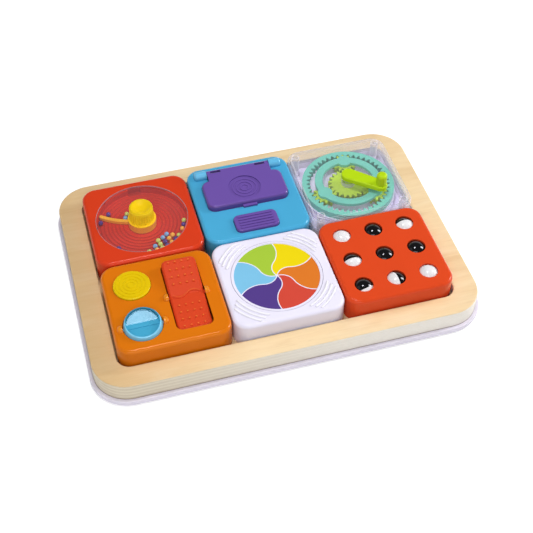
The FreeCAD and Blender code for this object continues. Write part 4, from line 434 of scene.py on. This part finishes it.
def rocker_bump_highlights(finish):
    """Painted highlights on the tops of the bar rocker's rows of bumps, and on its wave."""
    x, y, _ = finish.axes(finish.point(middle=BAR_ROCKER))
    across = abs(x / BUMP_PITCH_X % 1.0 - 0.5) * BUMP_PITCH_X
    rows = abs(y) / math.cos(BAR_TILT) - BUMP_FIRST
    along = abs((rows / BUMP_PITCH_Y + 0.5) % 1.0 - 0.5) * BUMP_PITCH_Y
    top = 1.0 - (across * across + along * along).root().step(0.5 * MM, 1.1 * MM)
    bumps = top * rows.band(-1.5 * MM, 24 * MM, 0.1 * MM)
    bow = (x * (math.pi / WAVE_HALF_LENGTH)).sine() * WAVE_BOW
    wave = 1.0 - abs(y - bow - 0.3 * MM).step(0.2 * MM, 0.6 * MM)
    within = 1.0 - abs(x).step(BAR_HALF_WIDTH, BAR_HALF_WIDTH + 0.4 * MM)
    return bumps.at_least(wave * 0.7) * within * 0.8


# Birch plywood

def birch():
    """Lacquered birch plywood: long grain on the faces, stacked plies on the cut edges."""
    finish = Finish("birch_plywood", Coat_Weight=0.12, Coat_Roughness=0.3)
    x, _, z = finish.axes(finish.point())
    facing = abs(finish.upward()).step(0.45, 0.75)
    fibres = finish.grain((14.0, 520.0, 520.0), 5.0, 0.65)
    ends = finish.grain((240.0, 240.0, 900.0), 3.0)
    finish.vary(Base_Color=finish.mix(facing, birch_cut(finish, x, z, ends), birch_face(finish, x, fibres)),
                Roughness=0.52 - facing * 0.1 + fibres * 0.1,
                Normal=finish.bump(fibres * 0.6 + ends * 0.3, 0.12, 0.2 * MM))
    return finish.material


def birch_face(finish, x, fibres):
    """The face veneer's colour, with painted shade deepening it towards the left end."""
    drift = finish.grain((3.0, 14.0, 14.0), 3.0)
    figure = finish.grain((7.0, 70.0, 70.0), 4.0, 0.6)
    clouds = finish.grain((16.0, 60.0, 60.0), 3.0, 0.55, middle=(0.3, 0.0, 0.0))
    pores = finish.grain((60.0, 1500.0, 1500.0), 2.0).step(0.66, 0.74)
    pale = (0.88, 0.69, 0.42)
    tan = (0.78, 0.55, 0.29)
    cream = (0.92, 0.77, 0.53)
    honey = (0.66, 0.43, 0.20)
    fibre_brown = (0.60, 0.38, 0.20)
    pore_brown = (0.50, 0.31, 0.15)
    shaded_tan = (0.50, 0.29, 0.085)
    face = finish.mix(figure.step(0.3, 0.75) * 0.6 + drift * 0.3, pale, tan)
    face = finish.mix(clouds.step(0.48, 0.72) * 0.45, face, cream)
    face = finish.mix((1.0 - clouds.step(0.3, 0.44)) * 0.3, face, honey)
    face = finish.mix(fibres.step(0.35, 0.8) * 0.18, face, fibre_brown)
    face = finish.mix(pores * 0.25, face, pore_brown)
    # painted shade: the veneer deepens towards the left end, where the modules shade it
    rightward = (x + drift * (60 * MM) + figure * (30 * MM)).step(-0.21, 0.02)
    return finish.mix((1.0 - rightward) * 0.66, face, shaded_tan)


def birch_cut(finish, x, z, ends):
    """The plies' cut edges, with painted light paling them towards the right end and a painted contact
    shadow above the base.
    """
    ply = 2.1 * MM
    shadow_top = 6.1 * MM
    long_ply = (0.74, 0.66, 0.50)
    end_ply = (0.64, 0.55, 0.40)
    lit_ply = (0.95, 0.91, 0.84)
    end_brown = (0.60, 0.52, 0.38)
    glue_brown = (0.48, 0.38, 0.28)
    contact_shadow_brown = (0.20, 0.09, 0.07)
    wander = finish.grain((30.0, 30.0, 30.0), 2.0) * (0.35 * MM)
    height = (z + wander) / ply
    layer = (height % 2.0) > 1.0
    glue = 0.5 - abs(height % 1.0 - 0.5)
    cut = finish.mix(layer, long_ply, end_ply)
    # painted light: paler towards the right end
    cut = finish.mix(x.step(-0.2, 0.12), cut, lit_ply)
    cut = finish.mix(ends * 0.3, cut, end_brown)
    cut = finish.mix((1.0 - glue.step(0.02, 0.09)) * 0.2, cut, glue_brown)
    # painted contact shadow along the bottom, above the base
    return finish.mix((1.0 - z.step(shadow_top, shadow_top + 0.8 * MM)) * 0.75, cut, contact_shadow_brown)


# Metal, clear plastic and the floor

def plated_steel():
    """Brushed plated steel of screws, pins and springs."""
    finish = Finish("plated_steel", Metallic=1.0)
    brushed = finish.grain((900.0, 900.0, 90.0), 3.0)
    finish.vary(Base_Color=finish.mix(brushed, shade(STEEL, 0.85), STEEL), Roughness=0.28 + brushed * 0.16)
    return finish.material


def mirror_film():
    """A toy mirror's silvered film, with faint smears."""
    finish = Finish("mirror_film", Metallic=1.0, Base_Color=(0.9, 0.9, 0.92))
    finish.vary(Roughness=0.03 + finish.noise(finish.point(), scale=45.0, detail=2.0) * 0.04)
    return finish.material


def clear_plastic(name, tint, haze, milk_and_highlights):
    """Clear moulded plastic. It grows milky and glossy where it is seen edge on, and milky by its last
    rule, which also paints highlights.
    """
    finish = Finish(name, Specular_IOR_Level=0.6)
    smear = finish.noise(finish.point(), scale=60.0)
    finish.vary(Base_Color=finish.mix(smear, shade(tint, 0.94), tint), Roughness=0.07 + smear * 0.08)
    edge = finish.outputs("ShaderNodeLayerWeight")["Facing"]
    finish.see_through(edge * edge * edge * 0.6 + haze + smear * haze + milk_and_highlights(finish), shade(tint, 1.15))
    return finish.material


def window_rim_highlight(finish):
    """Painted highlight, as milkiness, along the bead window's pale outer edge."""
    return finish.radius(BEAD_TILE).step(DISH_RADIUS + 0.8 * MM, DISH_RADIUS + 1.3 * MM) * 0.2


def gear_case_milk_and_highlights(finish):
    """Milky side walls, most where they sink into the pocket, and painted highlights as milky edge lines,
    screw-post rings and a collar ring on the clear case.
    """
    x, y, z = finish.axes(finish.point(middle=GEAR_TILE))
    wall = 1.0 - abs(finish.upward()).step(0.1, 0.4)
    sunk = 1.0 - z.step(9 * MM, 11 * MM)
    straight = TILE_SIDE / 2 - TILE_CORNER
    across = (abs(x) - straight).at_least(0.0)
    along = (abs(y) - straight).at_least(0.0)
    beyond = (across * across + along * along).root() + (abs(x).at_least(abs(y)) - straight).at_most(0.0)
    inset = TILE_CORNER - beyond
    # painted highlights: edge lines, then rings round the screw posts and the collar
    step_line = inset.band(3.6 * MM, 4.1 * MM, 0.25 * MM) * 0.3
    border = (1.0 - inset.step(0.7 * MM, 1.4 * MM)) * 0.25
    upper = z.step(20 * MM, 22 * MM)
    post_x = abs(x) - SCREW_OFFSET
    post_y = abs(y) - SCREW_OFFSET
    post_reach = (post_x * post_x + post_y * post_y).root()
    posts = post_reach.band(POST_INNER, POST_OUTER, 0.3 * MM) * 0.3
    collar = (x * x + y * y).root().band(COLLAR_INNER, COLLAR_OUTER, 0.4 * MM) * 0.25
    return (wall * (sunk * 0.6 + 0.12) + (step_line + border) * upper + posts + collar).at_most(0.8)


def floor_finish():
    """Pale studio floor that is white to the eye, keeps the shadow and is clear from below."""
    finish = Finish("studio_floor", Base_Color=(0.85, 0.85, 0.85), Roughness=0.6, Emission_Strength=1.0)
    rays = finish.outputs("ShaderNodeLightPath")
    away = finish.radius((0.0, 0.0, 0.0)).step(0.25, 0.8)
    finish.vary(Emission_Color=(rays["Is Camera Ray"] + rays["Is Glossy Ray"]) * (away * 0.65 + 0.35))
    finish.see_through(1.0 - finish.outputs("ShaderNodeNewGeometry")["Backfacing"])
    return finish.material


# The rules given to moulded paint shade and highlights into the colours
FINISHES = {
    "birch": birch(),
    "tray": moulded("tray_plastic", TRAY_WHITE, 0.34, painted_shade=tray_shade),
    "steel": plated_steel(),
    "red": moulded("red_plastic", RED, painted_shade=dish_ring_shade),
    "ball_red": moulded("ball_module_red_plastic", BALL_RED),
    "blue": moulded("blue_plastic", BLUE, 0.18, 0.45, painted_highlight=raised_part_highlights, highlight_gain=COOL_HIGHLIGHT),
    "orange": moulded("orange_plastic", ORANGE, painted_highlight=raised_part_highlights),
    "lavender": moulded("lavender_plastic", LAVENDER, 0.34,
                        painted_shade=ridge_side_shade, painted_highlight=ridge_top_highlights, highlight_gain=COOL_HIGHLIGHT),
    "pale_lavender": moulded("pale_lavender_plastic", GEAR_LAVENDER, 0.34),
    "yellow": moulded("yellow_plastic", YELLOW, 0.28),
    "knob_yellow": moulded("knob_yellow_plastic", KNOB_YELLOW, 0.42, 0.2,
                           painted_shade=knob_flute_shade, painted_highlight=knob_side_highlight),
    "amber": moulded("amber_plastic", AMBER, 0.34),
    "purple": moulded("purple_plastic", PURPLE, 0.18, 0.5, painted_shade=ridge_side_shade),
    "aqua": moulded("aqua_plastic", AQUA, 0.4),
    "ring_aqua": moulded("ring_aqua_plastic", AQUA, 0.4, painted_shade=ring_teeth_shade),
    "lime": moulded("lime_plastic", LIME, 0.32),
    "gear_lime": moulded("gear_lime_plastic", GEAR_LIME, 0.4, painted_shade=wheel_teeth_shade),
    "sky": moulded("sky_plastic", SKY, 0.14, 0.25, painted_shade=rocker_back_shade, painted_highlight=rocker_rim_highlight, highlight_gain=COOL_HIGHLIGHT),
    "scarlet": moulded("scarlet_plastic", SCARLET, 0.4, 0.15, painted_highlight=rocker_bump_highlights),
    "white": moulded("white_plastic", WHITE, 0.16, 0.5),
    "black": moulded("black_plastic", BLACK, 0.1, 0.5),
    "clear": clear_plastic("clear_plastic", CLEAR_TINT, 0.015, gear_case_milk_and_highlights),
    "window": clear_plastic("window_plastic", WINDOW_TINT, 0.008, window_rim_highlight),
    "mirror": mirror_film(),
}
for colour, tint in BEAD_COLOURS.items():
    FINISHES[f"bead_{colour}"] = moulded(f"bead_{colour}", tint, 0.2)
for colour, tint in PETAL_COLOURS.items():
    FINISHES[f"petal_{colour}"] = moulded(f"petal_{colour}", tint, 0.3)

# CAD nodes by finish. The rest, screws and pins, are steel.
NODE_FINISH = {
    "wood_frame": "birch",
    "base_tray": "tray",
    "bead_housing": "red",
    "bead_back_cover": "red",
    "bead_window": "window",
    "spinner_knob": "knob_yellow",
    "sweeper_arm": "amber",
    "beads": "sky",
    "lid_housing": "blue",
    "lid_back_cover": "blue",
    "lid_mirror": "mirror",
    "flip_lid": "purple",
    "release_button": "purple",
    "gear_housing": "clear",
    "gear_back_cover": "pale_lavender",
    "ring_gear": "ring_aqua",
    "crank_handle": "lime",
    "sun_gear": "gear_lime",
    "planet_carrier": "aqua",
    "planet_gear_1": "gear_lime",
    "planet_gear_2": "gear_lime",
    "planet_gear_3": "gear_lime",
    "switch_housing": "orange",
    "switch_back_cover": "orange",
    "push_button": "yellow",
    "round_rocker": "sky",
    "bar_rocker": "scarlet",
    "pinwheel_housing": "lavender",
    "pinwheel_back_cover": "lavender",
    "pinwheel_disc": "lavender",
    "ball_housing": "ball_red",
    "ball_back_cover": "ball_red",
}

for name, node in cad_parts.items():
    material = FINISHES[NODE_FINISH.get(name, "steel")]
    for slot in node.material_slots:
        slot.material = material


# New pieces

def new_object(name, data):
    """An object of its own in the scene."""
    thing = bpy.data.objects.new(name, data)
    bpy.context.scene.collection.objects.link(thing)
    return thing


def new_mesh(name, shape):
    """A mesh made from a bmesh, which is used up."""
    data = bpy.data.meshes.new(name)
    shape.to_mesh(data)
    shape.free()
    return data


def piece(name, shape, finishes, body, slot, *replaced, smooth=40.0):
    """Make a bmesh an object that rides on a body and stands for CAD nodes.

    Edges that bend by more than smooth, in degrees, stay sharp.
    """
    data = new_mesh(name, shape)
    for finish in finishes:
        data.materials.append(FINISHES[finish])
    thing = new_object(name, data)
    data.shade_smooth()
    data.set_sharp_from_angle(angle=math.radians(smooth))
    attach(thing, body)
    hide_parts(*replaced)
    return thing


def merged_copy(node):
    """A CAD node's mesh as a bmesh with its corners joined."""
    shape = bmesh.new()
    shape.from_mesh(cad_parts[node].data)
    bmesh.ops.remove_doubles(shape, verts=shape.verts, dist=0.001 * MM)
    return shape


# Loose beads by colour: bead radii in from the dish wall, and direction in degrees
WALL_BEADS = {
    "purple": ((0, 167), (2.0, 148), (0, -20), (0, -49), (0, -65), (2.25, -63), (0, -135)),
    "green": ((0, -12), (0, -41), (4.45, -71), (2.2, -72), (0, -92), (0, -73)),
    "blue": ((4.7, -49), (4.6, -60), (2.2, -81)),
    "orange": ((0, -28), (2.35, -45), (2.35, -54), (0, -57), (0, -81)),
}
# The two that lie against the hub, counted outwards from it
HUB_BEADS = {"green": ((2.4, 131),), "blue": ((1.8, 147),)}
BEAD_HEIGHT = DISH_FLOOR + RING_HEIGHT + BEAD_RADIUS + BEAD_LIFT
BEAD_REACH = DISH_RADIUS - BEAD_RADIUS - BEAD_WALL_GAP

for colour, wall_places in WALL_BEADS.items():
    places = [(BEAD_REACH - steps * BEAD_RADIUS, angle) for steps, angle in wall_places]
    places += [(HUB_RADIUS + steps * BEAD_RADIUS, angle) for steps, angle in HUB_BEADS.get(colour, ())]
    beads = bmesh.new()
    for distance, angle in places:
        turn = math.radians(angle)
        spot = BEAD_TILE + Vector((distance * math.cos(turn), distance * math.sin(turn), BEAD_HEIGHT))
        bmesh.ops.create_uvsphere(beads, u_segments=20, v_segments=12, radius=BEAD_RADIUS,
                                  matrix=Matrix.Translation(spot))
    piece(f"beads_{colour}", beads, [f"bead_{colour}"], "loose_beads", "bead_plastic", "beads", smooth=180)

# Springs under the two push buttons, as meshes of their own on their modules
for node, module, press in (("release_springs", "lid_module", "release_press"),
                            ("push_button_spring", "switch_module", "push_press")):
    spring = piece(f"pressed_{node}", merged_copy(node), ["steel"], module, "steel", node)
    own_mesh(spring)

# Pinwheel inlays, one object per colour, from their CAD outlines.
# Counter-clockwise from the petal that lies right of the back
PETAL_ORDER = ("yellow", "green", "blue", "purple", "red", "orange")
FIRST_PETAL_EDGE = 21.0
PETAL_ANGLE = 60.0


def separate_solids(shape):
    """A bmesh's faces in sets that hang together."""
    seen = set()
    solids = []
    for face in shape.faces:
        if face in seen:
            continue
        solid = {face}
        front = [face]
        while front:
            near = {other for edge in front.pop().edges for other in edge.link_faces}
            fresh = near - solid
            solid |= fresh
            front.extend(fresh)
        seen |= solid
        solids.append(solid)
    return solids


def petal_colour(faces):
    """The colour of the inlay made of these faces, by its direction from the pinwheel's axle."""
    area = sum(face.calc_area() for face in faces)
    middle = sum((face.calc_center_median() * face.calc_area() for face in faces), Vector()) / area
    offset = middle - PINWHEEL_TILE
    angle = math.degrees(math.atan2(offset.y, offset.x)) - FIRST_PETAL_EDGE
    return PETAL_ORDER[int(angle / PETAL_ANGLE % len(PETAL_ORDER))]


petals = merged_copy("pinwheel_petals")
petals.faces.index_update()
for faces in separate_solids(petals):
    colour = petal_colour(faces)
    kept = {face.index for face in faces}
    single = petals.copy()
    unwanted = [face for index, face in enumerate(single.faces) if index not in kept]
    bmesh.ops.delete(single, geom=unwanted, context="FACES")
    bmesh.ops.dissolve_limit(single, angle_limit=0.01, verts=single.verts, edges=single.edges)
    piece(f"petal_{colour}", single, [f"petal_{colour}"], "pinwheel", "petal_colours", "pinwheel_petals")
petals.free()

# Balls: one white and one black half each. Tilt and turn, in degrees, as the photo shows them
BALL_POSES = ((6, 40), (176, 200), (82, 0), (90, 0), (160, -45), (178, 30), (120, 15), (88, -84), (10, 150))
BALL_HEIGHT = TILE_HEIGHT + BALL_PROUD - BALL_RADIUS
for number, (tilt, turn) in enumerate(BALL_POSES):
    row = 1 - number // 3
    column = number % 3 - 1
    spot = BALL_TILE + Vector((column * BALL_PITCH, row * BALL_PITCH, BALL_HEIGHT))
    turned = Matrix.Rotation(math.radians(turn), 4, "Z") @ Matrix.Rotation(math.radians(tilt), 4, "X")
    ball = bmesh.new()
    bmesh.ops.create_uvsphere(ball, u_segments=64, v_segments=32, radius=BALL_RADIUS)
    for face in ball.faces:
        face.material_index = 0 if face.calc_center_median().z > 0 else 1
    bmesh.ops.transform(ball, matrix=Matrix.Translation(spot) @ turned, verts=ball.verts)
    piece(f"two_tone_ball_{number + 1}", ball, ["white", "black"], f"roller_{number + 1}", "ball_plastic",
          f"ball_{number + 1}", smooth=180)


# Stage, light and camera

FLOOR_HALF_SIDE = 6.0
FLOOR_DEPTH = 0.2 * MM
floor_shape = bmesh.new()
bmesh.ops.create_grid(floor_shape, x_segments=1, y_segments=1, size=FLOOR_HALF_SIDE,
                      matrix=Matrix.Translation((0.0, 0.0, -FLOOR_DEPTH)))
floor = new_object("floor", new_mesh("floor", floor_shape))
floor.data.materials.append(floor_finish())

# White to the eye, through glass, and in reflections up to a low height; dim overhead in reflections
AMBIENT = 0.26
MIRRORED = 0.88
OVERHEAD = 0.08
world = bpy.data.worlds.new("studio")
bpy.context.scene.world = world
world.use_nodes = True
sky = Nodes(world.node_tree)
background = world.node_tree.nodes["Background"]
rays = sky.outputs("ShaderNodeLightPath")
height = sky.axes(sky.outputs("ShaderNodeTexCoord")["Generated"])[2]
seen = (rays["Is Camera Ray"] + rays["Is Transmission Ray"]) * (1.0 - AMBIENT)
dimming = height.step(0.08, 0.5) * (MIRRORED - OVERHEAD)
mirrored = rays["Is Glossy Ray"] * (MIRRORED - AMBIENT - dimming)
sky.set(background, {"Color": (1.0, 1.0, 1.0), "Strength": (seen + mirrored + AMBIENT).at_most(1.0)})


def lamp(name, place, aim, size, power):
    """A rectangular lamp: its place, aim and two sides in metres, and its power in watts."""
    data = bpy.data.lights.new(name, "AREA")
    data.shape = "RECTANGLE"
    data.size, data.size_y = size
    data.energy = power
    thing = new_object(name, data)
    thing.location = place
    thing.rotation_euler = (Vector(aim) - Vector(place)).to_track_quat("-Z", "Y").to_euler()


lamp("top", (-0.06, 0.06, 1.1), (-0.05, 0.0, 0.0), (0.26, 0.2), 4.7)
lamp("side", (1.0, 0.06, 0.5), (0.0, 0.0, 0.03), (0.25, 0.45), 6.2)
lamp("left", (-0.9, 0.1, 0.7), (0.0, 0.0, 0.02), (0.8, 0.8), 1.0)
lamp("front", (-0.25, -0.85, 0.75), (0.0, 0.0, 0.02), (0.9, 0.5), 4.8)

# The photo's own camera, solved from edges and centres in it
CAMERA_PLACE = Vector((-0.17935, -0.63782, 0.74768))
CAMERA_AIM = Vector((-0.002398, -0.025814, 0.0242))
CAMERA_ROLL = math.radians(0.475)
FOCAL_PIXELS = 1029.9
PHOTO_PIXELS = 533
SENSOR_WIDTH = 36.0

forward = (CAMERA_AIM - CAMERA_PLACE).normalized()
level = forward.cross(Vector((0, 0, 1))).normalized()
upright = level.cross(forward)
right = level * math.cos(CAMERA_ROLL) + upright * math.sin(CAMERA_ROLL)
up = right.cross(forward)
camera_data = bpy.data.cameras.new("camera")
camera_data.sensor_width = SENSOR_WIDTH
camera_data.sensor_fit = "HORIZONTAL"
camera_data.lens = SENSOR_WIDTH * FOCAL_PIXELS / PHOTO_PIXELS
camera_data.clip_start = 0.05
camera_data.clip_end = 50.0
camera = new_object("camera", camera_data)
turned = Matrix((right, up, -forward)).transposed().to_4x4()
camera.matrix_world = Matrix.Translation(CAMERA_PLACE) @ turned
bpy.context.scene.camera = camera
bpy.context.scene.view_settings.view_transform = "Standard"
